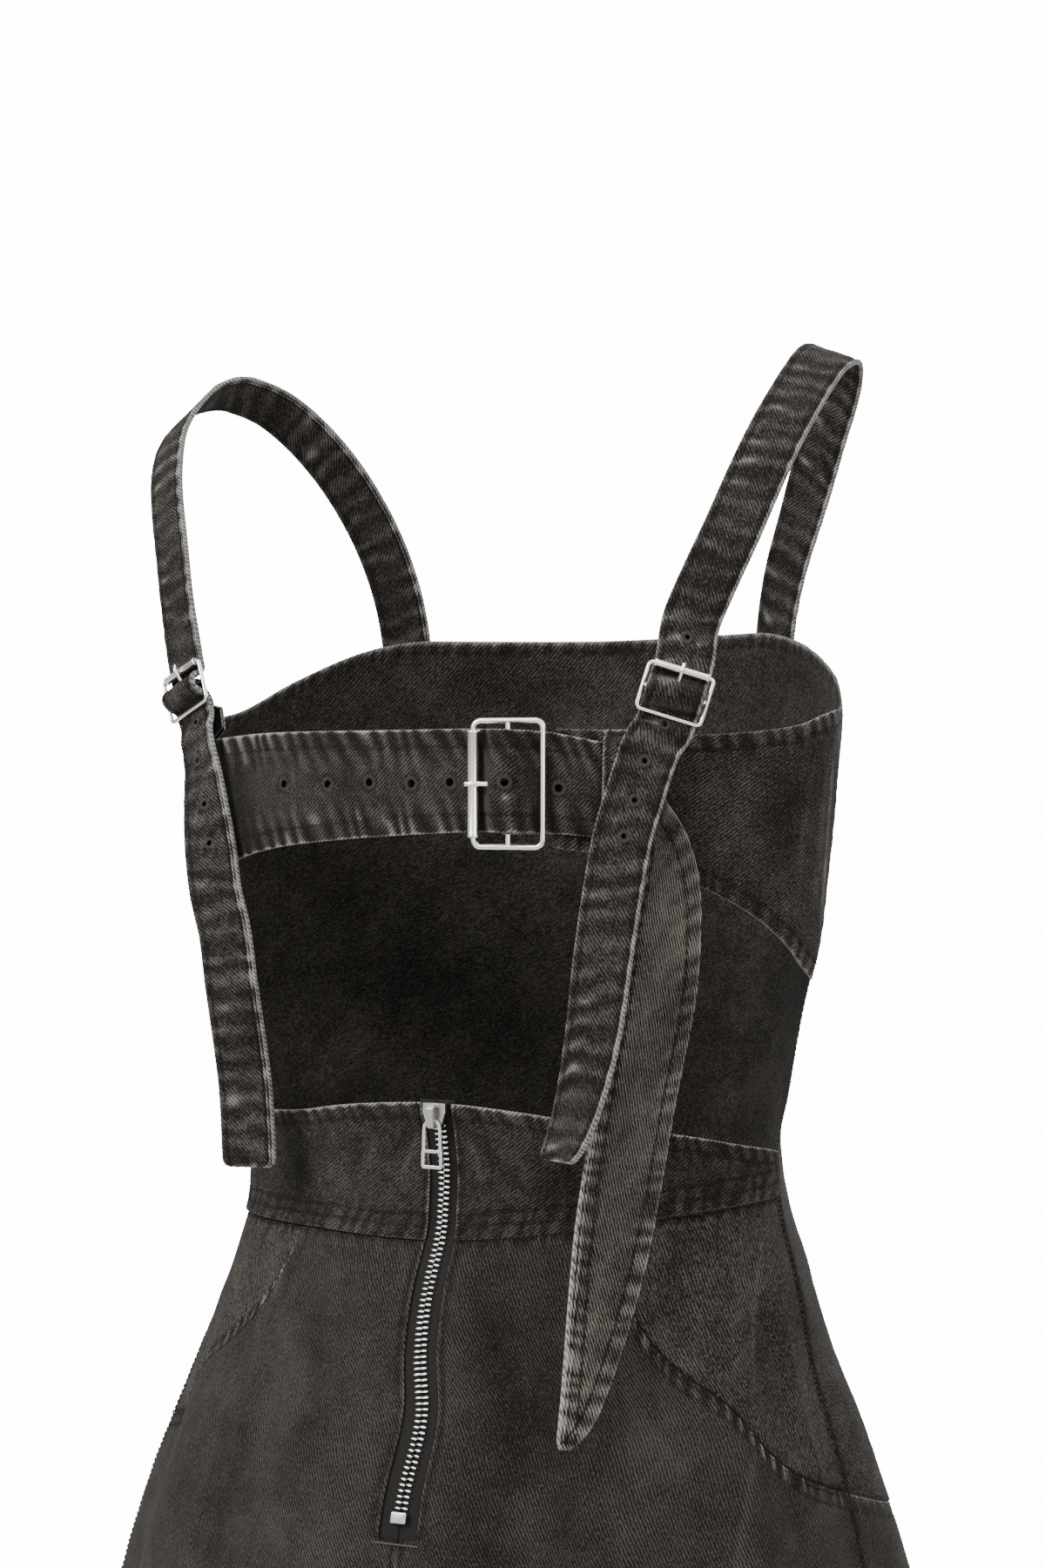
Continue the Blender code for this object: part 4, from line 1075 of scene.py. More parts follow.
@dataclass
class Skirt:
    """Front panel, skirt front, skirt backs and hip pieces."""

    neck: Rows = ((0, -168), (10, -163), (25, -147), (42, -131), (55, -126), (90, -127))
    front_hip: Rows = ((0, -515), (14, -527), (35, -537), (60, -541), (90, -542))
    hip_seam: Rows = ((54.3, -414), (51, -431), (47, -444), (42.5, -453.5), (38, -460.5),
                      (33.5, -467), (29.5, -476), (25, -488.5), (17, -501.5), (8, -509.5),
                      (0, -515))
    waist: Rows = ((0, -407), (30, -405.5), (55, -404.5), (90, -404), (114, -398),
                   (140, -389.5), (160, -386), (180, -384.5))
    hip_start: float = 55.5
    drop: float = 0.9
    # marks on the flat cloth, worn when light and painted shade when dark: x, y to x, y,
    # strength, width
    right_marks: Rows = (
        (30, -400, 46, -570, -0.40, 13), (56, -440, 76, -560, -0.30, 12),
        (151, -455, 149.5, -600, 0.34, 1.6), (153, -470, 155, -620, 0.22, 6),
        (92, -440, 104, -560, 0.16, 9), (128, -470, 140, -600, -0.2, 6))
    left_marks: Rows = (
        (-77, -402, -90, -442, 0.5, 1.4), (-72, -404, -84, -446, -0.4, 1.2),
        (-78, -425, -78, -500, 0.12, 14), (-30, -440, -34, -560, 0.10, 15),
        (-58, -420, -56, -520, -0.22, 7), (-95, -460, -112, -620, -0.25, 7),
        (-118, -470, -130, -620, 0.14, 5))
    right_hip_marks: Rows = ((150, -392, 151.5, -470, 0.34, 1.5),
                             (143, -395, 146, -470, 0.14, 7), (112, -400, 120, -450, -0.2, 6))
    left_hip_marks: Rows = ((-92, -410, -100, -450, 0.2, 8),)
    hemming: Sewing = Sewing(Edge.BOTTOM, rows=(12.0,), pitch=11, reach=13, depth=0.5, light=0.7)

    def fronts(self) -> list[ClothPiece]:
        """The front panel and the skirt's front."""
        angles = np.linspace(360 - SIDE_GAP, 180 + SIDE_GAP, 190)
        neck, seam = edge_line(angles, self.neck), edge_line(angles, self.front_hip)
        hem = np.stack((angles, 0 * angles + HEM), -1)
        side = Sewing(Edge.FIRST, rows=(2.0,), pitch=11, reach=7, depth=0.3, light=0.3, raw=0.3)
        sides = (side, replace(side, edge=Edge.LAST, raw=-0.5))
        top = Sewing(Edge.TOP, rows=(6.0,), pitch=8, reach=9, depth=0.4, light=0.7)
        band = Sewing(Edge.TOP, rows=(1.2, 7.0), pitch=8.5, reach=7.5, depth=0.4, light=0.8)
        return [panel("front_panel", neck, seam + (0, SEAM / 2), 150, Finish.FRONT,
                      (top, *sides), crumple=0.5, seed=301, **SINGLE),
                panel("skirt_front", seam - (0, SEAM / 2), hem, 100, Finish.SKIRT,
                      (band, self.hemming, *sides), crumple=0.5, seed=341, **SINGLE)]

    def line(self, right: bool) -> Array:
        """The hip seam from the waist seam to the side seam."""
        start = float(Table(self.waist).at(1, on_side(self.hip_start, right))) - self.drop
        first = self.hip_seam[0]
        rows = ((self.hip_start, start),
                ((self.hip_start + first[0]) / 2, (start + first[1]) / 2)) + self.hip_seam
        return np.array([(on_side(a, right), z) for a, z in rows])

    def hip_edges(self, right: bool) -> tuple[Array, Array]:
        """Both sides of the hip seam.

        Args:
            right: Whether on the wearer's right.

        Returns:
            The back panel's edge and the hip piece's.
        """
        sign, scale = -1 if right else 1, (HIP_DEGREE, 1)
        seam = resampled(self.line(right) * scale, 74) / scale
        step = unit(np.gradient(seam * scale, axis=0))
        side = np.stack((-step[:, 1] / HIP_DEGREE, step[:, 0]), -1) * SEAM / 2
        below, above = seam + side * sign, seam - side * sign
        below[0] = seam[0] + (0.1 * sign, 0)
        below[-1, 0] = above[-1, 0] = on_side(SIDE_GAP, right)
        return below, above

    def back_plan(self, right: bool, below: Array) -> tuple[Array, Array]:
        """Angles and heights of a back panel's grid, which closes below the zip.

        Args:
            right: Whether on the wearer's right.
            below: The panel's edge at the hip seam.

        Returns:
            Angle and height of each point.
        """
        fine = 12           # columns beside the zip that close the gap below it
        middle = np.linspace(ZIP_EDGE - 0.9, self.hip_start + 0.8, 27)
        middle = on_side(np.concatenate((ZIP_EDGE - np.array((0, 0.25, 0.5)), middle)), right)
        top = np.concatenate((edge_line(middle, self.waist, False, -self.drop), below))
        down = np.concatenate((np.linspace(0, 0.3, 66), np.linspace(0.3, 1, 125)[1:]))[:, None]
        angle = top[:, 0] + 0 * down
        z = top[:, 1] * (1 - down) + HEM * down
        z[:, :1] = ZIP_TOP * (1 - down) + HEM * down
        low = int(np.argmin(np.abs(z[:, 0] - ZIP_BOTTOM)))
        z[low - 1:low + 1, 0] = ZIP_BOTTOM + 0.6, ZIP_BOTTOM - 0.6
        shut, last = on_side(BACK - CENTRE_GAP, right), angle[:, fine:fine + 1]
        share = np.abs((angle[:, :fine] - angle[:, :1]) / (last - angle[:, :1]))
        closed = shut + (last - shut) * share
        angle[:, :fine] += (closed - angle[:, :fine]) * (z[:, :1] < ZIP_BOTTOM)
        return angle, z

    def backs(self, right: bool) -> list[ClothPiece]:
        """The back panel and the hip piece of one side."""
        below, above = self.hip_edges(right)
        plan = self.back_plan(right, below)
        grid, flat = FORM.point(*plan), FORM.chart(*plan)
        seam = 0.31         # share of the top edge before the hip seam
        rows = (Sewing(Edge.TOP, rows=(1.4, 7.0), pitch=8.0, reach=9, depth=0.55, light=1.4,
                       lean=0.15, part=(seam, 1.0), raw=-0.8),
                Sewing(Edge.TOP, rows=(), pitch=7.5, reach=13, depth=0.35, light=0.55,
                       thread=None, part=(0.0, seam), raw=-0.8),
                Sewing(Edge.FIRST, rows=(2.2,), pitch=12, reach=5, depth=0.25, light=0.25,
                       raw=0.6),
                Sewing(Edge.LAST, rows=(), pitch=12, reach=6, depth=0.25, light=0.3,
                       thread=None, raw=-0.9),
                self.hemming)
        name, marks, seed = "skirt_back_left", self.left_marks, 431
        if right:
            name, marks, seed = "skirt_back_right", self.right_marks, 401
            rows = tuple(self.mirrored(row) for row in rows)
            grid, flat = grid[:, ::-1], flat[:, ::-1]
        back = ClothPiece(name, grid, DENIM, Finish.SKIRT, rows, crumple=0.6, seed=seed,
                          streaks=marks, flat=flat, **SINGLE)
        return [back, self.hip_piece(right, above)]

    @staticmethod
    def mirrored(row: Sewing) -> Sewing:
        """The same sewing on a grid whose columns run the other way."""
        swap = {Edge.FIRST: Edge.LAST, Edge.LAST: Edge.FIRST}
        return replace(row, edge=swap.get(row.edge, row.edge), lean=-row.lean,
                       part=(1 - row.part[1], 1 - row.part[0]))

    def hip_piece(self, right: bool, above: Array) -> ClothPiece:
        """Curved piece between the waist, side and hip seams.

        Args:
            right: Whether on the wearer's right.
            above: Its edge at the hip seam.

        Returns:
            The piece.
        """
        bottom = above[1:]
        top = edge_line(bottom[:, 0], self.waist, False, -self.drop)
        top[0] = self.line(right)[0] + (0.1 if right else -0.1, 0)
        if not right:
            top, bottom = top[::-1], bottom[::-1]
        rows = (Sewing(Edge.TOP, rows=(), pitch=7.5, reach=13, depth=0.35, light=0.5,
                       thread=None, raw=-0.8),
                Sewing(Edge.BOTTOM, rows=(), pitch=9, reach=4, depth=0.25, light=0.15,
                       thread=None, raw=-0.9))
        name, marks, seed = (("hip_piece_right", self.right_hip_marks, 461) if right else
                             ("hip_piece_left", self.left_hip_marks, 491))
        return panel(name, top, bottom, 60, Finish.HIP, rows, crumple=0.45, seed=seed,
                     streaks=marks, **SINGLE)


# ---------------------------------------------------------------- waistband, wings and belt

@dataclass
class BackBand:
    """The shaped band over the back, in two halves."""

    top: Rows = ((0, -365), (10, -362.5), (20, -360), (40, -354), (57, -350.5), (68, -346.5),
                 (80, -343.5), (90, -342))
    # folds only in the colour: worn ridges beside troughs of painted shade
    fold_wear_and_shade: tuple[tuple[float, ...], ...] = (
        (-10, -352, -21, -378, 0.4, 1.5), (-16, -352, -28, -374, -0.4, 3),
        (-33, -354, -40, -374, 0.25, 2), (-47, -356, -45, -380, -0.3, 5),
        (-64, -362, -60, -382, 0.2, 2), (-76, -362, -80, -386, -0.35, 5),
        (12, -352, 20, -380, 0.4, 1.6), (18, -352, 30, -376, -0.4, 3),
        (34, -358, 42, -380, 0.25, 2), (60, -362, 56, -384, -0.3, 6),
        (88, -366, 94, -380, 0.2, 3), (120, -370, 126, -384, -0.25, 5))

    def half(self, right: bool, waist: Rows) -> ClothPiece:
        """One half, from the zip to the side seam.

        Args:
            right: Whether on the wearer's right.
            waist: Heights of the waist seam.

        Returns:
            The half.
        """
        ends = [on_side(angle, right) for angle in (ZIP_EDGE, SEAM / 2 / BAND_DEGREE)]
        angles = np.linspace(*(ends[::-1] if right else ends), 130)
        at_zip, at_side = (Edge.LAST, Edge.FIRST) if right else (Edge.FIRST, Edge.LAST)
        rows = (Sewing(Edge.TOP, rows=(6.2,), pitch=8.0, reach=16, depth=0.55, light=0.8,
                       lean=0.5, raw=0.8),
                Sewing(Edge.BOTTOM, rows=(5.6, 11.4), pitch=8.2, reach=20, depth=0.5,
                       light=0.55, lean=0.4, raw=0.1),
                Sewing(at_zip, rows=(2.0,), pitch=9, reach=16, depth=0.3, light=0.5, raw=0.6),
                Sewing(at_side, rows=(), pitch=9, reach=5, depth=0.3, light=0.2, thread=None,
                       raw=-0.8))
        return panel("waistband_" + ("right" if right else "left"),
                     edge_line(angles, self.top), edge_line(angles, waist, False, SEAM / 2), 40,
                     Finish.BAND, rows, crumple=0.8, seed=501 if right else 531,
                     streaks=self.fold_wear_and_shade)


@dataclass
class BackBelt:
    """Both wings, the belt with its keeper, tab and hanging end."""

    wing_top: Rows = ((0, -167), (8, -169.5), (18, -174.5), (30, -177.5), (41, -179),
                      (59, -177), (90, -176.5))
    wing_bottom: Rows = ((0, -287), (9, -280), (17, -270), (25, -260), (33, -251), (41, -243),
                         (50, -235), (60, -229.5), (77, -224.5), (90, -222))
    # angle, top, bottom
    past_middle: Rows = ((90, -176.5, -222.0), (99, -176.2, -220.8), (106, -176.6, -220.6),
                         (113, -178, -221), (121, -182, -222.6), (130, -184, -224))
    eyelets: tuple[float, ...] = (-70, -43.5, -21, 1.3, 20, 47.5, 68)
    # the hanging end's two edges: x, y, z nearer the back's middle, then the outer edge
    tail: Rows = (
        (-103.6, 97.2, -222, -103.8, 97.0, -184), (-104, 98, -225.5, -107, 96.4, -195),
        (-104.2, 99.5, -230, -111.6, 94.7, -207), (-103.2, 103, -238, -117.2, 91.5, -217),
        (-101, 107, -250, -121, 88, -229), (-98.2, 109.5, -265, -123, 85, -244),
        (-96, 110.5, -284, -121.6, 81, -265), (-92.2, 111, -305, -118.8, 78.5, -290),
        (-88, 112, -326, -113.7, 77, -314), (-84.2, 112, -345, -108.2, 76, -338),
        (-81, 113, -366, -103.7, 77, -364), (-78.3, 116, -392, -100, 82, -394),
        (-77.2, 120, -420, -96.3, 93, -424), (-76.2, 122, -443, -92.4, 101, -446),
        (-75, 123, -462, -88.5, 107.5, -462), (-74, 123, -472, -84.6, 111.5, -473),
        (-73.3, 122.6, -478.5, -80.4, 115.4, -479.5), (-73.6, 121.8, -482, -77, 118.4, -482.8))

    @property
    def middle(self) -> float:
        """Angle of the large buckle's middle bar."""
        return float(FORM.along_belt(BAR))

    def buckle_place(self) -> Matrix:
        """The large buckle: x along the belt, y up, z out, at its middle bar."""
        out = FORM.out(self.middle, BELT_LEVEL)
        along = np.cross((0, 0, 1), out)
        return placement(FORM.point(self.middle, BELT_LEVEL, FRAME_PLANE, False), along,
                         np.cross(out, along), out)

    def fall(self, distance: Any) -> Array:
        """How far the form falls behind the buckle's flat plane, along the belt."""
        away = (FORM.point(FORM.along_belt(distance), BELT_LEVEL, 0, False)
                - FORM.point(self.middle, BELT_LEVEL, 0, False))
        return -(away @ FORM.out(self.middle, BELT_LEVEL))

    def path(self) -> Table:
        """Height of the belt's inner face over the form, along it."""
        roller = FRAME_PLANE + float(self.fall(BAR - HALF)) - 3.4 - BELT_THICK
        bar = FRAME_PLANE + float(self.fall(BAR + HALF)) - 2.45 - BELT_THICK
        on_wing = DOUBLE + SEAT + 0.15
        return Table(((-300, 0.0), (BAR - 45, 0.0), (BAR - 25, 0.8), (BAR - HALF, roller),
                      (BAR - 12.5, 2.5), (BAR - 9, 5.0), (BAR - 5.5, 9.6), (BAR - 3, 11.1),
                      (BAR, 11.4), (BAR + 3, 10.9), (BAR + 6.5, 8.6), (BAR + 9.5, 5.8),
                      (BAR + 12.5, 4.0), (BAR + HALF, bar), (BAR + 25, on_wing),
                      (BAR + 80, on_wing)))

    def upright(self, distance: Array, z: Array) -> Array:
        """Extra lift that keeps the belt upright beside the flat buckle.

        Args:
            distance: Distances along the belt.
            z: Heights, in millimetres.

        Returns:
            The lift of each point.
        """
        hollow = (FORM.point(self.middle, BELT_LEVEL, 0, False)
                  - FORM.point(self.middle, z, 0, False))
        amount = np.clip((30 - np.abs(distance - BAR)) / 12, 0, 1)
        return (hollow @ FORM.out(self.middle, BELT_LEVEL)) * amount

    def belt(self) -> ClothPiece:
        """The left wing, narrowing to the belt that runs through the buckle."""
        distances = np.linspace(BELT_END, -146, 200)
        angles = FORM.along_belt(distances)
        last = np.linspace(angles[-1], SEAM / 2 / WING_DEGREE, 60)[1:]
        angles = np.concatenate((angles, last))
        distances = np.concatenate((distances, np.full(len(last), -200.0)))
        table, left = Table(self.past_middle), angles < BACK
        tops = np.where(left, Table(self.wing_top).at(1, angles), table.at(1, angles))
        lows = np.where(left, Table(self.wing_bottom).at(1, angles), table.at(2, angles))
        steps = np.linspace(0, 1, 36)[:, None]
        z = tops * (1 - steps) + lows * steps
        lift = self.path().at(1, distances) + self.upright(distances + 0 * z, z)
        grid = FORM.point(angles + 0 * z, z, lift, False)
        gone = travelled(grid[len(grid) // 2])
        spots = tuple(Spot(float(np.interp(-d, -distances, gone)), 23.0, 3.0)
                      for d in self.eyelets)
        edge = dict(rows=(7.6,), pitch=8.6, reach=22, depth=0.6, light=1.0, patches=0.32)
        rows = (Sewing(Edge.TOP, lean=0.55, raw=0.75, **edge),
                Sewing(Edge.BOTTOM, lean=-0.4, raw=0.75, **edge),
                Sewing(Edge.LAST, rows=(2.0,), pitch=9, reach=5, depth=0.3, light=0.3, raw=0.3))
        # streaks: dark ones of painted shade, the widest a painted shadow beside the left strap's
        # hanging end; the light one is wear
        return ClothPiece("belt", grid, BELT_THICK, Finish.BELT, rows, spots, crumple=0.45,
                          seed=601, flat=np.stack((0 * z - gone, z), -1),
                          streaks=((-214, -170, -210, -250, -0.6, 8),
                                   (-66, -184, -60, -212, 0.3, 3),
                                   (-140, -182, -150, -206, -0.2, 8)))

    def wing(self) -> ClothPiece:
        """The right wing, which carries the buckle."""
        angles = np.linspace(180 - SEAM / 2 / WING_DEGREE, float(FORM.along_belt(BAR + 19.0)),
                             110)
        rows = (Sewing(Edge.TOP, rows=(6.5,), pitch=8.6, reach=14, depth=0.5, light=0.8,
                       raw=0.35),
                Sewing(Edge.BOTTOM, rows=(7.5,), pitch=8.6, reach=12, depth=0.5, light=0.65,
                       raw=0.6),
                Sewing(Edge.FIRST, rows=(), pitch=10, reach=6, depth=0.3, light=0.3,
                       thread=None, raw=0.7))
        # light streaks of wear and a dark one of painted shade
        streaks = ((196, -176, 184, -266, 0.3, 2.4), (185, -180, 172, -258, 0.24, 2),
                   (170, -184, 160, -246, -0.22, 6), (201, -164, 190, -286, 0.7, 1.6),
                   (146, -188, 142, -240, 0.14, 7))
        return panel("wing_right", edge_line(angles, self.wing_top),
                     edge_line(angles, self.wing_bottom), 66, Finish.WING, rows, crumple=0.35,
                     seed=631, streaks=streaks)

    def keeper(self) -> ClothPiece:
        """Loop over the belt, sewn to the wing above and below it."""
        angles = FORM.along_belt(np.linspace(102, 87, 16))
        low, high = DOUBLE + SEAT, DOUBLE + 2 * SEAT + BELT_THICK + 0.35
        heights = Table(((0.0, low), (0.055, low), (0.1, high), (0.5, high + 0.4),
                         (0.91, high), (0.955, low), (1.0, low)))
        steps = np.linspace(0, 1, 60)
        top = np.stack((angles, 0 * angles - 176.8), -1)
        grid = on_form(top, top - (0, 51.8), steps, heights.at(1, steps)[:, None])
        side = Sewing(Edge.FIRST, rows=(2.2,), pitch=7, reach=4, depth=0.3, light=0.6)
        rows = (side, replace(side, edge=Edge.LAST),
                Sewing(Edge.TOP, rows=(3.5,), pitch=5, reach=4, depth=0.3, light=0.5))
        return ClothPiece("belt_keeper", grid, DENIM, Finish.WING, rows, crumple=0.2, seed=651)

    def tab(self) -> ClothPiece:
        """The wing's end folded round the buckle's middle bar."""
        profile = resampled(((18.6, 1.2), (12.5, 1.2), (8.5, 1.6), (5.0, 3.1), (2.2, 4.9),
                             (0.3, 5.3), (-1.1, 5.6), (-2.0, 7.0), (-1.7, 8.4), (-0.4, 9.25),
                             (1.1, 8.95), (2.7, 7.8), (4.4, 5.8), (6.8, 3.6), (9.6, 1.95),
                             (13.0, 1.55), (17.5, 1.55)), 64)
        d, up, h = folded(profile, 21.5, 34)
        flat = placed(self.buckle_place(), np.stack((d, up, h - FRAME_PLANE), -1))
        curved = FORM.point(FORM.along_belt(BAR + d), BELT_LEVEL + up, h, False)
        grid = np.where((d < 8)[..., None], flat, curved)
        side = Sewing(Edge.FIRST, rows=(3.0,), pitch=7, reach=4, depth=0.2, light=0.6)
        return ClothPiece("belt_buckle_tab", grid, 1.0, Finish.WING,
                          (side, replace(side, edge=Edge.LAST)), crumple=0.1, seed=671)

    def hanging_end(self) -> ClothPiece:
        """The belt's free end, which turns down past the keeper and ends in a point."""
        both = resampled(self.tail, 230)
        even = np.linspace(0, 1, 30)
        steps = np.sort(np.concatenate((even, 1 - even[1:5] / 2 + 0.008)))[None, :, None]
        grid = both[:, None, 3:] * (1 - steps) + both[:, None, :3] * steps
        rows = (Sewing(Edge.FIRST, lean=0.1, rows=(7.8,), pitch=9.5, reach=17, depth=0.6,
                       light=0.6, raw=0.6),
                Sewing(Edge.LAST, lean=-0.3, rows=(8.0,), pitch=7.2, reach=12, depth=0.5,
                       light=0.7, raw=0.3, ropes=2))
        inner = np.linalg.norm(grid[:, -1:] - grid, axis=-1)
        return ClothPiece("belt_tail", grid, BELT_THICK, Finish.TAIL, rows, crumple=0.6,
                          seed=691, flat=np.stack((inner, grid[..., 2]), -1))

    def pieces(self) -> list[ClothPiece]:
        """All of its cloth."""
        return [self.belt(), self.wing(), self.keeper(), self.tab(), self.hanging_end()]


def folded(profile: Array, half_width: float, count: int) -> tuple[Array, Array, Array]:
    """Grid of a strip folded round a bar.

    Args:
        profile: Distance along the band and height, round the fold.
        half_width: Half the strip's width.
        count: Points across it.

    Returns:
        Distance, place across and height of each point.
    """
    across = np.linspace(half_width, -half_width, count)
    d, side = np.broadcast_arrays(profile[:, :1], across[None])
    return d, side, profile[:, 1:] + 0 * side


# ---------------------------------------------------------------- straps

@dataclass(frozen=True)
class Strap:
    """Shoulder strap with its buckle and tab.

    over and tail give the middle of the underside and the direction of the width: x, y, z,
    bearing from +X, and rise.
    """

    name: str
    over: Rows
    tail: Rows
    bar: tuple[float, float]
    base: float
    along: tuple[float, float, float]
    width: tuple[float, float, float]
    eyelets: tuple[float, ...]
    seed: int
    lean: float
    ropes: int = 1

    def place(self) -> Matrix:
        """The buckle's base: x along the strap, y across it, z out, at its middle bar."""
        along = unit(np.array(self.along))
        across = np.array(self.width)
        across = unit(across - along * (across @ along))
        return placement(FORM.point(*self.bar, self.base, False), along, -across,
                         np.cross(across, along))

    @staticmethod
    def free(rows: Rows) -> Array:
        """Stations of a free stretch from its rows of x, y, z, bearing and rise."""
        x, y, z, bearing, rise = np.array(rows, float).T
        turn, lean = np.radians(bearing), np.radians(rise)
        return np.stack((x, y, z, np.cos(turn) * np.cos(lean), np.sin(turn) * np.cos(lean),
                         np.sin(lean)), -1)

    def stations(self) -> Array:
        """Middle of the underside and direction of the width, from front to free end."""
        roller = STRAP_PLANE - 2.3 - STRAP_THICK
        wire = STRAP_PLANE - 1.5 - STRAP_THICK
        through = ((-STRAP_HALF - 4, roller - 0.1), (-STRAP_HALF, roller), (-6.8, 2.2),
                   (-4.5, 4.0), (-3.5, 6.5), (-2.3, 9.0), (0.0, 10.2), (2.4, 9.1),
                   (4.0, 6.7), (5.5, 4.3), (7.4, 3.0), (STRAP_HALF, wire),
                   (STRAP_HALF + 5, wire - 0.2))
        place = self.place()
        bar = placed(place, [(d, 0, h) for d, h in through])
        across = np.tile(-np.array(place)[:3, 1], (len(bar), 1))
        line = np.concatenate((self.free(self.over), np.concatenate((bar, across), 1),
                               self.free(self.tail)))
        line[:, 3:] = unit(line[:, 3:])
        return line

    def cloth(self) -> ClothPiece:
        """The strap itself."""
        line = self.stations()
        gone = travelled(line[:, :3])
        slopes = np.empty_like(line)
        slopes[1:-1] = (line[2:] - line[:-2]) / (gone[2:] - gone[:-2])[:, None]
        slopes[0], slopes[-1] = ((line[k + 1] - line[k]) / (gone[k + 1] - gone[k])
                                 for k in (0, len(line) - 2))
        spots = np.linspace(0, gone[-1] - 5, int(gone[-1] / 1.35))
        spots = np.concatenate((spots, gone[-1] - np.array((4, 3.1, 2.3, 1.6, 1, 0.5, 0.2, 0))))
        i = np.clip(np.searchsorted(gone, spots, side="right") - 1, 0, len(gone) - 2)
        span = (gone[i + 1] - gone[i])[:, None]
        path = cubic((spots - gone[i])[:, None] / span, span, line[i], line[i + 1], slopes[i],
                     slopes[i + 1])
        middle, side = path[:, :3], path[:, 3:]
        ahead = unit(np.gradient(middle, axis=0))
        left = (gone[-1] - spots)[:, None]
        square = np.clip((left - 3) / 14, 0, 1)
        across = unit(side - ahead * (side * ahead).sum(-1, keepdims=True) * square)
        corner = np.clip(4 - left, 0, 4)
        half = STRAP_WIDTH / 2 - 4 + np.sqrt(16 - corner ** 2)
        fine = np.array((0, 0.018, 0.036, 0.055, 0.075, 0.095))
        steps = np.concatenate((fine, np.linspace(0.13, 0.87, 18), 1 - fine[::-1])) * 2 - 1
        grid = middle[:, None] + across[:, None] * (half[:, None] * steps[:, None])
        flat = np.stack((-half * steps, 0 * half * steps - spots[:, None]), -1)
        rows = (Sewing(Edge.FIRST, rows=(2.7,), pitch=11.0, reach=4, depth=0.25, light=0.2,
                       thread=None, raw=0.6, ropes=self.ropes),
                Sewing(Edge.LAST, rows=(2.7,), pitch=11.0, reach=4, depth=0.25, light=0.2,
                       raw=0.6),
                Sewing(Edge.BOTTOM, rows=(3.0,), pitch=7, reach=5, depth=0.3, light=0.5))
        holes = tuple(Spot(STRAP_WIDTH / 2, down, 2.5) for down in self.eyelets)
        return ClothPiece("strap_" + self.name, grid, STRAP_THICK, Finish.STRAP, rows, holes,
                          crumple=0.3, seed=self.seed, ripples=(11.0, self.lean), flat=flat)

    def tab(self) -> ClothPiece:
        """Tab folded round the middle bar, its ends behind the wing's top edge."""
        bar = STRAP_PLANE
        profile = resampled(((24.0, 0.9), (13.0, 0.9), (8.5, 0.95), (5.0, 2.0),
                             (2.2, bar - 2.9), (0.2, bar - 1.65), (-0.95, bar - 1.1),
                             (-1.4, bar), (-0.9, bar + 1.1), (0.1, bar + 1.4),
                             (1.1, bar + 0.9), (2.2, bar - 0.8), (3.5, bar - 2.7), (5.2, 2.6),
                             (8.5, 1.35), (13.0, 1.2), (22.5, 1.2)), 60)
        d, side, h = folded(profile, 10.5, 16)
        spots = placed(self.place(), np.stack((d, side, h), -1))
        grid = np.where((d < 12)[..., None], spots, FORM.settled(spots, h - 3.3))
        return ClothPiece("strap_tab_" + self.name, grid, 0.9, Finish.STRAP, crumple=0.1,
                          seed=self.seed + 40)


STRAPS = (
    Strap("right",
          ((-98, -81, -158, -28, 0), (-98.8, -79.5, -128, -26, 0), (-105, -76, -98, -22, 4),
           (-117, -69, -67, -18, 10), (-132, -54, -35, -12, 18), (-145, -36, -12, -4, 21),
           (-150.5, -19, -3.5, 2, 22), (-150, -2, -7, 8, 22), (-148, 12, -17, 12, 18),
           (-146, 27, -30, 15, 14), (-143, 41, -45, 18, 10), (-138.5, 55, -65, 20, 6),
           (-132, 68, -90, 22, 4), (-124, 79, -115, 23, 6), (-119, 84, -131, 23, 10)),
          ((-107.8, 99.6, -183, 23, 13), (-104.8, 101.6, -192, 22.5, 11),
           (-101.3, 104.5, -206, 22, 8), (-97.7, 108.2, -222, 21, 6),
           (-95.0, 112.6, -245, 18, 3.5), (-92.3, 117, -274, 13, 1.5), (-89.6, 120, -304, 0, 0),
           (-84.8, 121.3, -330, -14, 0), (-78.8, 121.5, -349, -25, 0),
           (-73.6, 121, -360.5, -31, 0)),
          (133.6, -161.5), 4.2, (0.27, 0.125, -0.955), (0.86, 0.36, 0.29),
          (369.0, 415.0, 434.0, 450.5, 467.0), 701, 0.26),
    Strap("left",
          ((102, -79, -158, 28, 0), (103, -78, -128, 26, 0), (108, -74, -97, 22, -4),
           (118, -65, -65, 18, -10), (133, -50, -34, 12, -18), (150, -30, -11, 4, -26),
           (163, -10, -3, -6, -32), (170.5, 4, -6, -14, -32), (174.5, 17, -15, -20, -26),
           (176, 30, -28, -25, -16), (172.5, 41, -42, -26, -9), (166, 52, -60, -26, -5),
           (155.5, 64, -88, -25, -5), (147, 72.5, -114, -23, -12)),
          ((127.6, 85.5, -179, -27, -12), (122.5, 90, -193, -22, -4), (117, 95.5, -211, -8, 0),
           (112, 99.5, -232, 8, 0), (108.5, 101, -250, 10, 0), (104, 100.6, -268, 11, 0),
           (101, 99.7, -292, 12, 0), (97.7, 98.5, -316, 13, 0), (94.8, 97.5, -340, 14, 0),
           (92.6, 97.5, -376, 15, 0)),
          (34.0, -156.5), 4.6, (-0.342, 0.168, -0.924), (0.868, -0.324, -0.38),
          (416.0, 436.0, 459.0, 478.0), 751, -0.1, 2),
)


# ---------------------------------------------------------------- metal

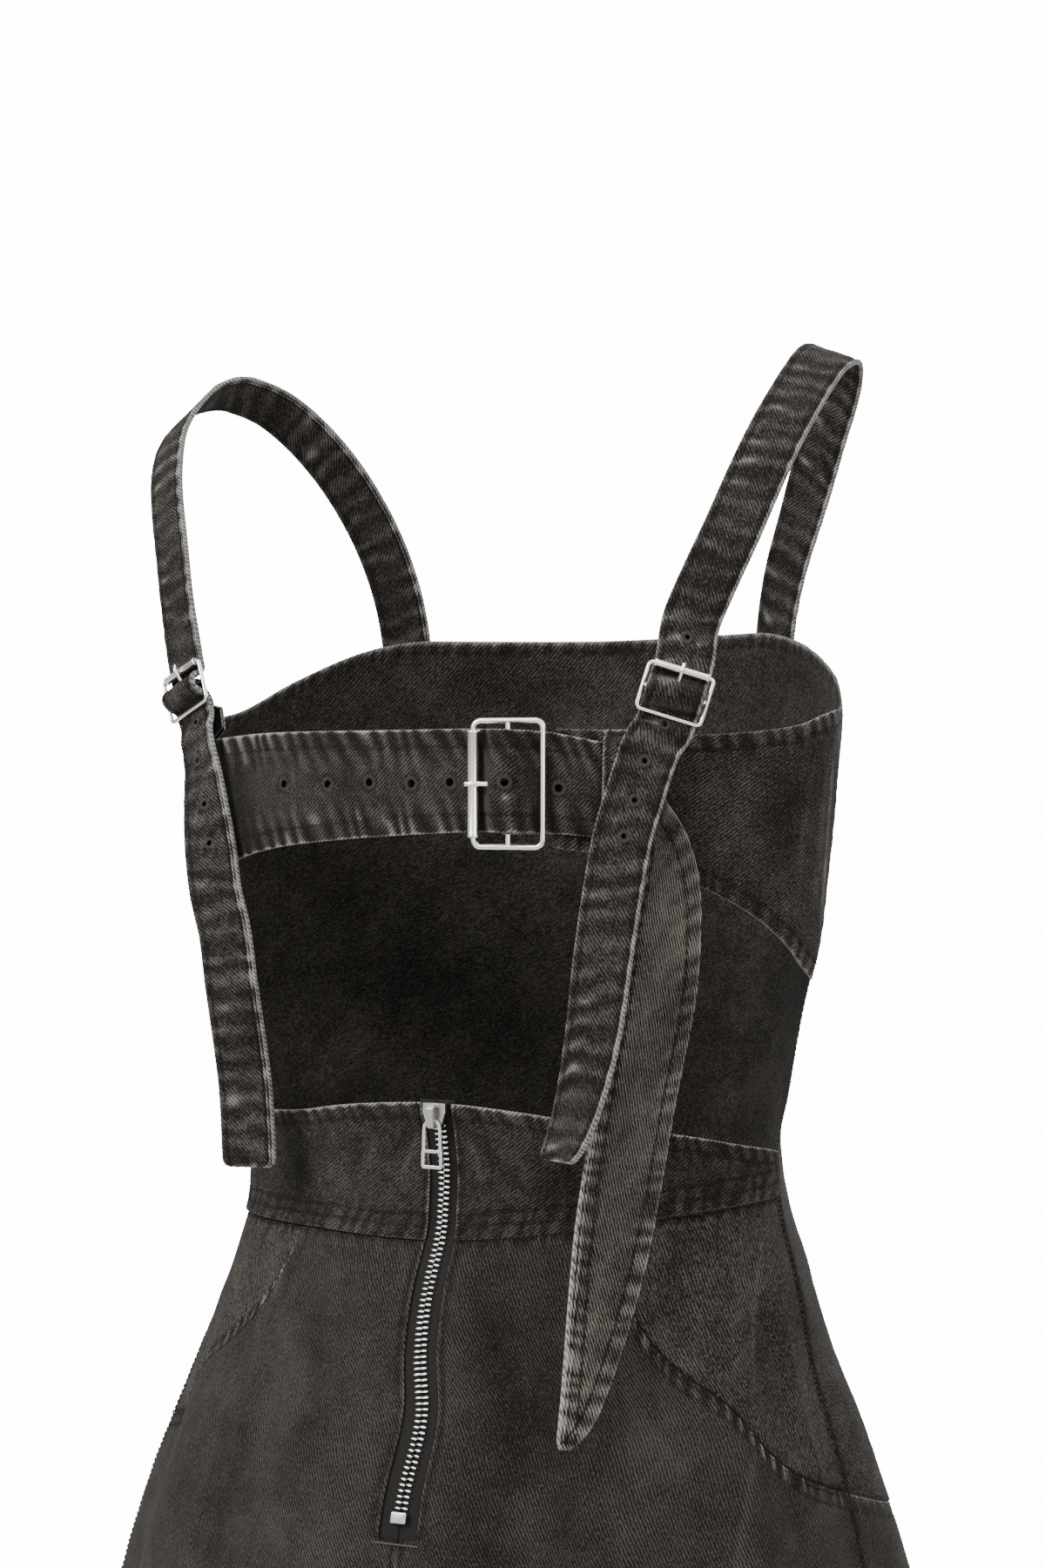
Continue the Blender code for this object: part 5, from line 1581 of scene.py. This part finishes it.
@dataclass(frozen=True)
class RollerBuckle:
    """Wire frame with a middle bar, a roller and a prong.

    place has x from the roller to the far bar, y across the band and z outwards. Sizes are
    in millimetres.
    """

    name: str
    place: Matrix
    half_length: float
    outer_width: float
    wire: float
    roller: float
    roller_length: float
    prong: float
    prong_path: Rows

    def build(self) -> None:
        """Makes the frame, roller and prong, each for its own CAD node."""
        half = self.outer_width / 2 - self.wire
        corner = 3.4 if half > 20 else 2.2
        loop = []
        for quarter, (sx, sy) in enumerate(((1, 1), (-1, 1), (-1, -1), (1, -1))):
            for k in range(7):
                turn = math.radians(90 * (quarter + k / 6))
                loop.append((sx * (self.half_length - corner) + corner * math.cos(turn),
                             sy * (half - corner) + corner * math.sin(turn), 0.0))
        bar = [(0.0, y, 0.0) for y in np.linspace(-half, half, 5)]
        frame = self.wires("_frame_wire", (loop, True, self.wire),
                           (bar, False, self.wire * 0.93))
        self.finished(frame, "_frame")
        self.finished(self.roller_object(), "_roller")
        path = resampled([(x, 0.0, z) for x, z in self.prong_path], 14)
        turns, reach = np.linspace(0, 2 * np.pi, 17)[:-1], self.wire + self.prong * 0.7
        eye = np.stack((np.cos(turns) * reach, 0 * turns, np.sin(turns) * reach), -1)
        prong = self.wires("_prong_wire", (path, False, self.prong),
                           (eye, True, self.prong * 0.7))
        self.finished(prong, "_prong")

    def wires(self, name: str, *runs: tuple[Any, bool, float]) -> bpy.types.Object:
        """Round wires as one mesh.

        Args:
            name: End of the object's name.
            runs: Points on the buckle's axes, whether closed, and radius of each wire.

        Returns:
            The mesh object.
        """
        thing = poly_curve(self.name + name, [(placed(self.place, points), closed, radius)
                                              for points, closed, radius in runs])
        thing.data.bevel_depth = MM
        thing.data.bevel_resolution = 6
        thing.data.use_fill_caps = True
        return plain_mesh(thing, Finish.SATIN.get())

    def roller_object(self) -> bpy.types.Object:
        """Tube with rolled ends and a fine lengthwise joint."""
        outer, inner, half = self.roller, self.wire + 0.35, self.roller_length / 2
        section = ((inner, half - 0.1), (inner + 0.2, half), (outer - 0.35, half),
                   (outer, half - 0.4), (outer, half - 1.1), (outer - 0.12, half - 1.4),
                   (outer - 0.12, -half + 1.4), (outer, -half + 1.1), (outer, -half + 0.4),
                   (outer - 0.35, -half), (inner + 0.2, -half), (inner, -half + 0.1))
        count, sides = len(section), 48
        turns = np.linspace(0, 2 * np.pi, sides, endpoint=False)
        dent = 1 - 0.05 * bell(np.degrees(turns) - 118, 5.0)
        centre = np.array(self.place) @ (-self.half_length, 0, 0, 1)
        spin = np.array(self.place)[:3, :3]
        points = np.array([[spin @ (r * f * math.cos(t), y, r * f * math.sin(t)) + centre[:3]
                            for r, y in section] for t, f in zip(turns, dent)])
        index = np.arange(sides * count).reshape(sides, count)
        ahead, beside = np.roll(index, -1, 0), np.roll(index, -1, 1)
        both = np.roll(ahead, -1, 1)
        faces = np.stack((index, ahead, both, beside), -1).reshape(-1, 4)
        return shell_object(self.name + "_roller_tube", points.reshape(-1, 3) * MM, faces,
                            Finish.SATIN.get())

    def finished(self, made: bpy.types.Object, node: str) -> None:
        """Hangs a piece on the dress in place of its CAD node."""
        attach(made, "dress")
        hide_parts(self.name + node)


def poly_curve(name: str, lines: Iterable[tuple[Array, bool, float]]) -> bpy.types.Object:
    """Curve object of straight stretches.

    Args:
        name: Name of the object.
        lines: Points in millimetres, whether closed, and radius of each line.

    Returns:
        The object.
    """
    curve = bpy.data.curves.new(name, "CURVE")
    curve.dimensions = "3D"
    for path, closed, radius in lines:
        line = curve.splines.new("POLY")
        line.points.add(len(path) - 1)
        spots = np.concatenate((path * MM, np.ones((len(path), 1))), axis=1)
        line.points.foreach_set("co", spots.ravel())
        line.points.foreach_set("radius", np.full(len(path), float(radius)))
        line.use_cyclic_u = closed
    return linked(name, curve)


def plain_mesh(thing: bpy.types.Object, finish: bpy.types.Material | None
               ) -> bpy.types.Object:
    """Swaps an object for a plain mesh of what it shows, with no modifier left.

    Args:
        thing: The object, which is removed.
        finish: The mesh's material, or none where it has its own.

    Returns:
        The new object.
    """
    graph = bpy.context.evaluated_depsgraph_get()
    mesh = bpy.data.meshes.new_from_object(thing.evaluated_get(graph))
    name = thing.name
    bpy.data.objects.remove(thing)
    if finish is not None:
        mesh.materials.clear()
        mesh.materials.append(finish)
    mesh.shade_smooth()
    return linked(name, mesh)


# ---------------------------------------------------------------- what repeats

class Repeat(Nodes):
    """A geometry-node tree with named inputs, run once on a carrier object."""

    def __init__(self, name: str, inputs: dict[str, tuple[str, Any]]) -> None:
        """Makes the tree.

        Args:
            name: Its name.
            inputs: Kind of socket and value of each named input.
        """
        super().__init__(bpy.data.node_groups.new(name, "GeometryNodeTree"))
        self.inputs = inputs
        kinds = {"Geometry": "Geometry", **{key: kind for key, (kind, _) in inputs.items()}}
        for key, kind in kinds.items():
            self.tree.interface.new_socket(key, in_out="INPUT", socket_type="NodeSocket" + kind)
        self.tree.interface.new_socket("Geometry", in_out="OUTPUT",
                                       socket_type="NodeSocketGeometry")
        self.given = self.add("NodeGroupInput").outputs

    def evenly(self) -> Any:
        """The carrier's lines with a point at each pitch."""
        return self.out("GeometryNodeResampleCurve", {"Curve": self.given["Geometry"],
                                                      "Length": self.given["Pitch"]},
                        mode="LENGTH")

    def turned(self, way: Any, axis: str) -> Any:
        """Rotation that points an axis along a vector."""
        return self.out("FunctionNodeAlignEulerToVector", {"Vector": way}, axis=axis)

    def copies(self, points: Any, shape: Any, turn: Any, size: Any = (1.0, 1.0, 1.0)) -> Any:
        """Instances of a shape on points."""
        return self.out("GeometryNodeInstanceOnPoints", {
            "Points": points, "Instance": shape, "Rotation": turn, "Scale": size})

    def beads(self, points: Any, turn: Any) -> Any:
        """Beads of thread on points, sized by the inputs Length and Thickness."""
        bead = self.out("GeometryNodeMeshUVSphere", {"Segments": 6, "Rings": 4, "Radius": 1.0})
        length, thick = self.given["Length"], self.given["Thickness"]
        size = self.out("ShaderNodeCombineXYZ", {0: length, 1: thick, 2: thick})
        return self.copies(points, bead, turn, size)

    def run(self, instances: Any, finish: Any, carrier: bpy.types.Object) -> bpy.types.Object:
        """Ends the tree in Realize Instances and Set Material, and runs it.

        Args:
            instances: Socket with the instances.
            finish: Socket with their material.
            carrier: Object that the tree runs on, its inputs set by identifier.

        Returns:
            The result as a plain mesh.
        """
        real = self.out("GeometryNodeRealizeInstances", {0: instances})
        self.add("NodeGroupOutput", {0: self.out("GeometryNodeSetMaterial", {0: real,
                                                                            2: finish})})
        live = carrier.modifiers.new("repeat", "NODES")
        live.node_group = self.tree
        for item in self.tree.interface.items_tree:
            if item.in_out == "INPUT" and item.name in self.inputs:
                live[item.identifier] = self.inputs[item.name][1]
        carrier.update_tag()
        return plain_mesh(carrier, None)


def sew_rows(name: str, lines: Sequence[Array], finish: Finish, pitch: float = 3.0,
             length: float = 2.5, thick: float = 0.55) -> bpy.types.Object:
    """Rows of stitches along paths.

    Args:
        name: Name of the piece.
        lines: Paths in millimetres.
        finish: The thread.
        pitch: From one stitch to the next.
        length: Length of a stitch.
        thick: Thickness of the thread.

    Returns:
        The stitches as one mesh.
    """
    tree = Repeat("stitch_rows", {
        "Pitch": ("Float", pitch * MM), "Length": ("Float", length / 2 * MM),
        "Thickness": ("Float", thick / 2 * MM), "Seed": ("Int", 7),
        "Thread": ("Material", finish.get())})
    jitter = tree.out("FunctionNodeRandomValue", {
        0: (-0.09,) * 3, 1: (0.09,) * 3, "Seed": tree.given["Seed"]}, data_type="FLOAT_VECTOR")
    way = tree.out("ShaderNodeVectorMath", {0: tree.out("GeometryNodeInputTangent"), 1: jitter})
    beads = tree.beads(tree.evenly(), tree.turned(way, "X"))
    return tree.run(beads, tree.given["Thread"],
                    poly_curve(name, [(path, False, 1.0) for path in lines]))


def sew_eyelets(name: str, places: Sequence[tuple[Array, Array]], radius: float,
                finish: Finish) -> bpy.types.Object:
    """Stitched rings round eyelet holes.

    Args:
        name: Name of the piece.
        places: Centre in millimetres and facing of each eyelet.
        radius: Middle radius of the ring of stitches, in millimetres.
        finish: The thread.

    Returns:
        The rings as one mesh.
    """
    mesh = bpy.data.meshes.new(name)
    mesh.from_pydata([tuple((spot + out * 0.7) * MM) for spot, out in places], [], [])
    facing = mesh.attributes.new("facing", "FLOAT_VECTOR", "POINT")
    facing.data.foreach_set("vector", np.array([out for _, out in places],
                                               np.float32).ravel())
    tree = Repeat("stitched_eyelets", {
        "Radius": ("Float", radius * MM), "Stitches": ("Int", 22),
        "Length": ("Float", 1.15 * MM), "Thickness": ("Float", 0.27 * MM),
        "Thread": ("Material", finish.get())})
    ring = tree.out("GeometryNodeMeshCircle", {"Vertices": tree.given["Stitches"],
                                               "Radius": tree.given["Radius"]})
    spokes = tree.turned(tree.out("GeometryNodeInputPosition"), "X")
    star = tree.out("GeometryNodeRealizeInstances", {0: tree.beads(ring, spokes)})
    normal = tree.out("GeometryNodeInputNamedAttribute", {"Name": "facing"},
                      data_type="FLOAT_VECTOR")
    rings = tree.copies(tree.given["Geometry"], star, tree.turned(normal, "Z"))
    return tree.run(rings, tree.given["Thread"], linked(name, mesh))


def eyelet_shade_discs(name: str, places: Sequence[tuple[Array, Array]], radius: float
                 ) -> bpy.types.Object:
    """Small sunk black discs of painted shade that stand for the holes.

    Args:
        name: Name of the piece.
        places: Centre in millimetres and facing of each eyelet.
        radius: Radius of a hole, in millimetres.

    Returns:
        The discs as one mesh.
    """
    sides = 20
    points, faces = [], []
    for spot, out in places:
        x = unit(np.cross(out, (0.3, 0.2, 1.0)))
        y = np.cross(out, x)
        first = len(points)
        for r, h in ((0.02, 0.1), (radius * 0.7, 0.22), (radius, 0.42), (radius * 0.9, -0.5),
                     (0.02, -0.6)):
            for t in np.linspace(0, 2 * np.pi, sides, endpoint=False):
                points.append(spot + x * r * math.cos(t) + y * r * math.sin(t) + out * h)
        for ring in range(5):
            for k in range(sides):
                a, b = first + ring * sides, first + (ring + 1) % 5 * sides
                faces.append((a + k, b + k, b + (k + 1) % sides, a + (k + 1) % sides))
    return shell_object(name, np.array(points) * MM, np.array(faces)[:, ::-1],
                        Finish.HOLE.get())


# ---------------------------------------------------------------- zip

@dataclass(frozen=True)
class Zip:
    """Tape, teeth, slider, pull and stop."""

    top: float = -341.0
    bottom: float = ZIP_BOTTOM
    first_tooth: float = -352.5
    last_tooth: float = -515.5
    pitch: float = 2.5

    def tapes(self) -> list[ClothPiece]:
        """Both tapes, under the edges of the denim."""
        made = []
        for name, reach in (("left", (SEAM / 2, TAPE_HALF + 1.0)),
                            ("right", (-TAPE_HALF - 1.0, -SEAM / 2))):
            across = BACK - np.linspace(*reach, 8) / ZIP_DEGREE
            z = np.linspace(self.top, self.bottom - 1.5, 130)[:, None]
            grid = FORM.point(across[None] + 0 * z, z + 0 * across, -1.5)
            made.append(ClothPiece("zip_tape_" + name, grid, 1.0, Finish.TAPE, crumple=0.05,
                                   doubled=False, slot="zip_tape", seed=801))
        return made

    def row(self, side: int) -> tuple[Array, bool, float]:
        """Path of one row of teeth, as for poly_curve."""
        start = self.first_tooth - (self.pitch / 2 if side > 0 else 0)
        z = np.arange(start, self.last_tooth, -self.pitch / 4)
        return FORM.point(BACK - side * 1.45 / ZIP_DEGREE, z, 0.75), False, 1.0

    def teeth(self) -> bpy.types.Object:
        """Two rows of interlocked teeth."""
        tree = Repeat("zip_teeth", {
            "Pitch": ("Float", self.pitch * MM), "Seed": ("Int", 3),
            "Bead": ("Vector", (1.85 * MM, 0.58 * MM, 0.85 * MM)),
            "Metal": ("Material", Finish.BRIGHT.get())})
        block = tree.out("GeometryNodeMeshCube", {"Size": (1.9, 1.75, 1.8)})
        tooth = tree.out("GeometryNodeSubdivisionSurface", {"Mesh": block, "Level": 1,
                                                            "Edge Crease": 0.75})
        jitter = tree.add("FunctionNodeRandomValue", {
            2: 0.92, 3: 1.06, "Seed": tree.given["Seed"]}, data_type="FLOAT").outputs[1]
        size = tree.out("ShaderNodeVectorMath", {0: tree.given["Bead"], "Scale": jitter},
                        operation="SCALE")
        turn = tree.turned(tree.out("GeometryNodeInputTangent"), "Y")
        return tree.run(tree.copies(tree.evenly(), tooth, turn, size), tree.given["Metal"],
                        poly_curve("zip_teeth_rows", [self.row(1), self.row(-1)]))

    def build(self, nodes: dict[str, bpy.types.Object]) -> None:
        """Makes the teeth and finishes the CAD slider, pull and stop."""
        teeth = self.teeth()
        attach(teeth, "dress")
        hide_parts("zip_chain")
        across = np.linspace(BACK - 3.3, BACK + 3.3, 12)
        end = FORM.point(across, self.bottom - 0.7, 1.7)
        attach(sew_rows("zip_end_stitches", [end], Finish.EDGE, 1.3, 1.7, 0.9), "dress")
        for name, width, finish in (("zip_slider", 0.5, Finish.SLIDER),
                                    ("zip_pull", 0.28, Finish.SATIN),
                                    ("zip_stop", 0.5, Finish.SLIDER)):
            thing = nodes[name]
            thing.data.materials.clear()
            thing.data.materials.append(finish.get())
            weld = thing.modifiers.new("weld", "WELD")
            weld.merge_threshold = 0.00002
            soft = thing.modifiers.new("soft edges", "BEVEL")
            soft.width = width * MM
            soft.segments = 3
            soft.limit_method = "ANGLE"
            soft.angle_limit = math.radians(35)


# ---------------------------------------------------------------- the whole dress

@dataclass
class Dress:
    """Every piece of the dress, in the row frame."""

    nodes: dict[str, bpy.types.Object]

    def cloth(self) -> list[ClothPiece]:
        """All cloth pieces."""
        skirt = Skirt()
        pieces = skirt.fronts()
        for right in (False, True):
            pieces += skirt.backs(right)
            pieces.append(BackBand().half(right, skirt.waist))
        pieces += BackBelt().pieces()
        for strap in STRAPS:
            pieces += [strap.cloth(), strap.tab()]
        return pieces

    def build(self) -> None:
        """Makes the dress."""
        zipper = Zip()
        pieces = self.cloth()
        for piece in pieces + zipper.tapes():
            made = piece.build()
            flat, area = piece.cut()
            LOG.info("%s: %.0f x %.0f mm, %.4f m2, %d faces", piece.name, flat[0] / MM,
                     flat[1] / MM, area, len(made.data.polygons))
        self.thread(pieces)
        zipper.build(self.nodes)
        large = ((-1.4, 2.0), (-4.9, 1.2), (-8.0, 1.5), (-11.0, 2.7), (-13.0, 3.7),
                 (-15.5, 3.95), (-18.0, 3.1))
        RollerBuckle("belt_buckle", BackBelt().buckle_place(), half_length=HALF,
                     outer_width=57.0, wire=1.3, roller=2.75, roller_length=46.5, prong=1.2,
                     prong_path=large).build()
        small = ((-1.0, 1.4), (-3.0, 0.9), (-5.0, 1.0), (-7.4, 2.0), (-10.3, 3.3),
                 (-13.1, 2.7))
        for strap in STRAPS:
            raised = strap.place() @ Matrix.Translation((0, 0, STRAP_PLANE))
            RollerBuckle("strap_buckle_" + strap.name, raised, half_length=STRAP_HALF,
                         outer_width=30.5, wire=0.95, roller=1.9, roller_length=24.5,
                         prong=0.9, prong_path=small).build()

    def thread(self, pieces: Sequence[ClothPiece]) -> None:
        """Stitches and eyelets of all pieces."""
        rows: dict[Finish, list[Array]] = {}
        for piece in pieces:
            for finish, path in piece.stitch_lines():
                rows.setdefault(finish, []).append(path)
        made = [sew_rows("stitches_" + finish.name.lower(), lines, finish)
                for finish, lines in rows.items()]
        for group, radius in (("belt", 2.7), ("strap", 2.2)):
            places = [piece.place(spot) for piece in pieces
                      if piece.name.startswith(group) for spot in piece.spots]
            made.append(sew_eyelets("eyelets_" + group, places, radius, Finish.LOOP))
            made.append(eyelet_shade_discs("eyelet_holes_" + group, places, radius * 0.66))
        for thing in made:
            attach(thing, "dress")


# ---------------------------------------------------------------- studio

@dataclass(frozen=True)
class Studio:
    """Camera, floor and soft lights."""

    eye: tuple[float, float, float] = (-0.5283, 1.1329, -0.20)
    aim: tuple[float, float, float] = (0.4226, -0.9063, 0.0)
    lens: float = 59.97
    # name, place, energy, size
    lights: tuple[tuple[str, tuple[float, float, float], float, float], ...] = (
        ("key", (1.2, 2.2, 1.2), 104.0, 1.2),
        ("fill", (-2.4, 1.4, 0.4), 40.0, 1.8),
        ("top", (0.2, 0.4, 2.4), 30.0, 1.6),
        ("front", (-0.6, -2.6, 0.8), 60.0, 1.8))

    def build(self) -> None:
        """Sets the camera, the floor, the lights and a pale surround."""
        camera = linked("camera", bpy.data.cameras.new("camera"))
        camera.data.lens = self.lens
        camera.data.sensor_width = 36.0
        camera.data.clip_start = 0.02
        camera.location = self.eye
        camera.rotation_euler = Vector(self.aim).to_track_quat("-Z", "Y").to_euler()
        bpy.context.scene.camera = camera
        for name, place, energy, size in self.lights:
            lamp = linked(name, bpy.data.lights.new(name, "AREA"))
            lamp.data.energy = energy
            lamp.data.size = size
            lamp.location = place
            way = Vector((0, 0.02, -0.3)) - Vector(place)
            lamp.rotation_euler = way.to_track_quat("-Z", "Y").to_euler()
        self.floor()
        self.surround()

    def surround(self) -> None:
        """Pale light from all round, brighter from above and in the metal's gleam."""
        world = bpy.context.scene.world or bpy.data.worlds.new("surround")
        bpy.context.scene.world = world
        world.use_nodes = True
        tree = Nodes(world.node_tree)
        sky = world.node_tree.nodes["Background"].inputs
        tree.feed(sky["Color"], (1.0, 1.0, 1.0, 1.0))
        ways = tree.add("ShaderNodeTexCoord").outputs["Generated"]
        height = tree.add("ShaderNodeSeparateXYZ", {0: ways}).outputs[2]
        soft = tree.maths("MULTIPLY_ADD", height, 0.5, 0.5)
        ahead = tree.add("ShaderNodeVectorMath", {0: ways, 1: (-0.42, 0.91, 0.0)},
                         operation="DOT_PRODUCT").outputs["Value"]
        near = tree.maths("MULTIPLY_ADD", ahead, 2.0, -0.9, clamp=True)
        dim = tree.maths("MULTIPLY_ADD", tree.maths("POWER", soft, 2.0), 1.1, 0.22)
        dim = tree.maths("MULTIPLY", dim, tree.maths("MULTIPLY_ADD", near, -0.4, 1.0))
        path = tree.add("ShaderNodeLightPath").outputs
        facing = tree.maths("MULTIPLY_ADD", ahead, 0.75, 0.25, clamp=True)
        gleam = tree.maths("MULTIPLY", path["Is Glossy Ray"],
                           tree.maths("MULTIPLY", tree.maths("MULTIPLY", soft, facing), 2.4))
        bright = tree.maths("MULTIPLY_ADD", path["Is Camera Ray"], 14.0,
                            tree.maths("ADD", dim, gleam))
        tree.feed(sky["Strength"], bright)

    def floor(self) -> None:
        """A plain pale floor below the hem."""
        tree = Surface("pale_floor")
        tree.shade({"Base Color": (0.85, 0.85, 0.84, 1), "Roughness": 0.9})
        corners = np.array(((-1, -1), (1, -1), (1, 1), (-1, 1)), float) * 1.6
        points = np.concatenate((corners, np.full((4, 1), -1.40)), axis=1)
        shell_object("floor", points, np.array(((0, 1, 2, 3),)), tree.material)


def main() -> None:
    """Builds the dress and the studio."""
    logging.basicConfig(level=logging.INFO)
    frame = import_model()
    Dress(frame["nodes"]).build()
    Studio().build()


if __name__ == "__main__":
    main()
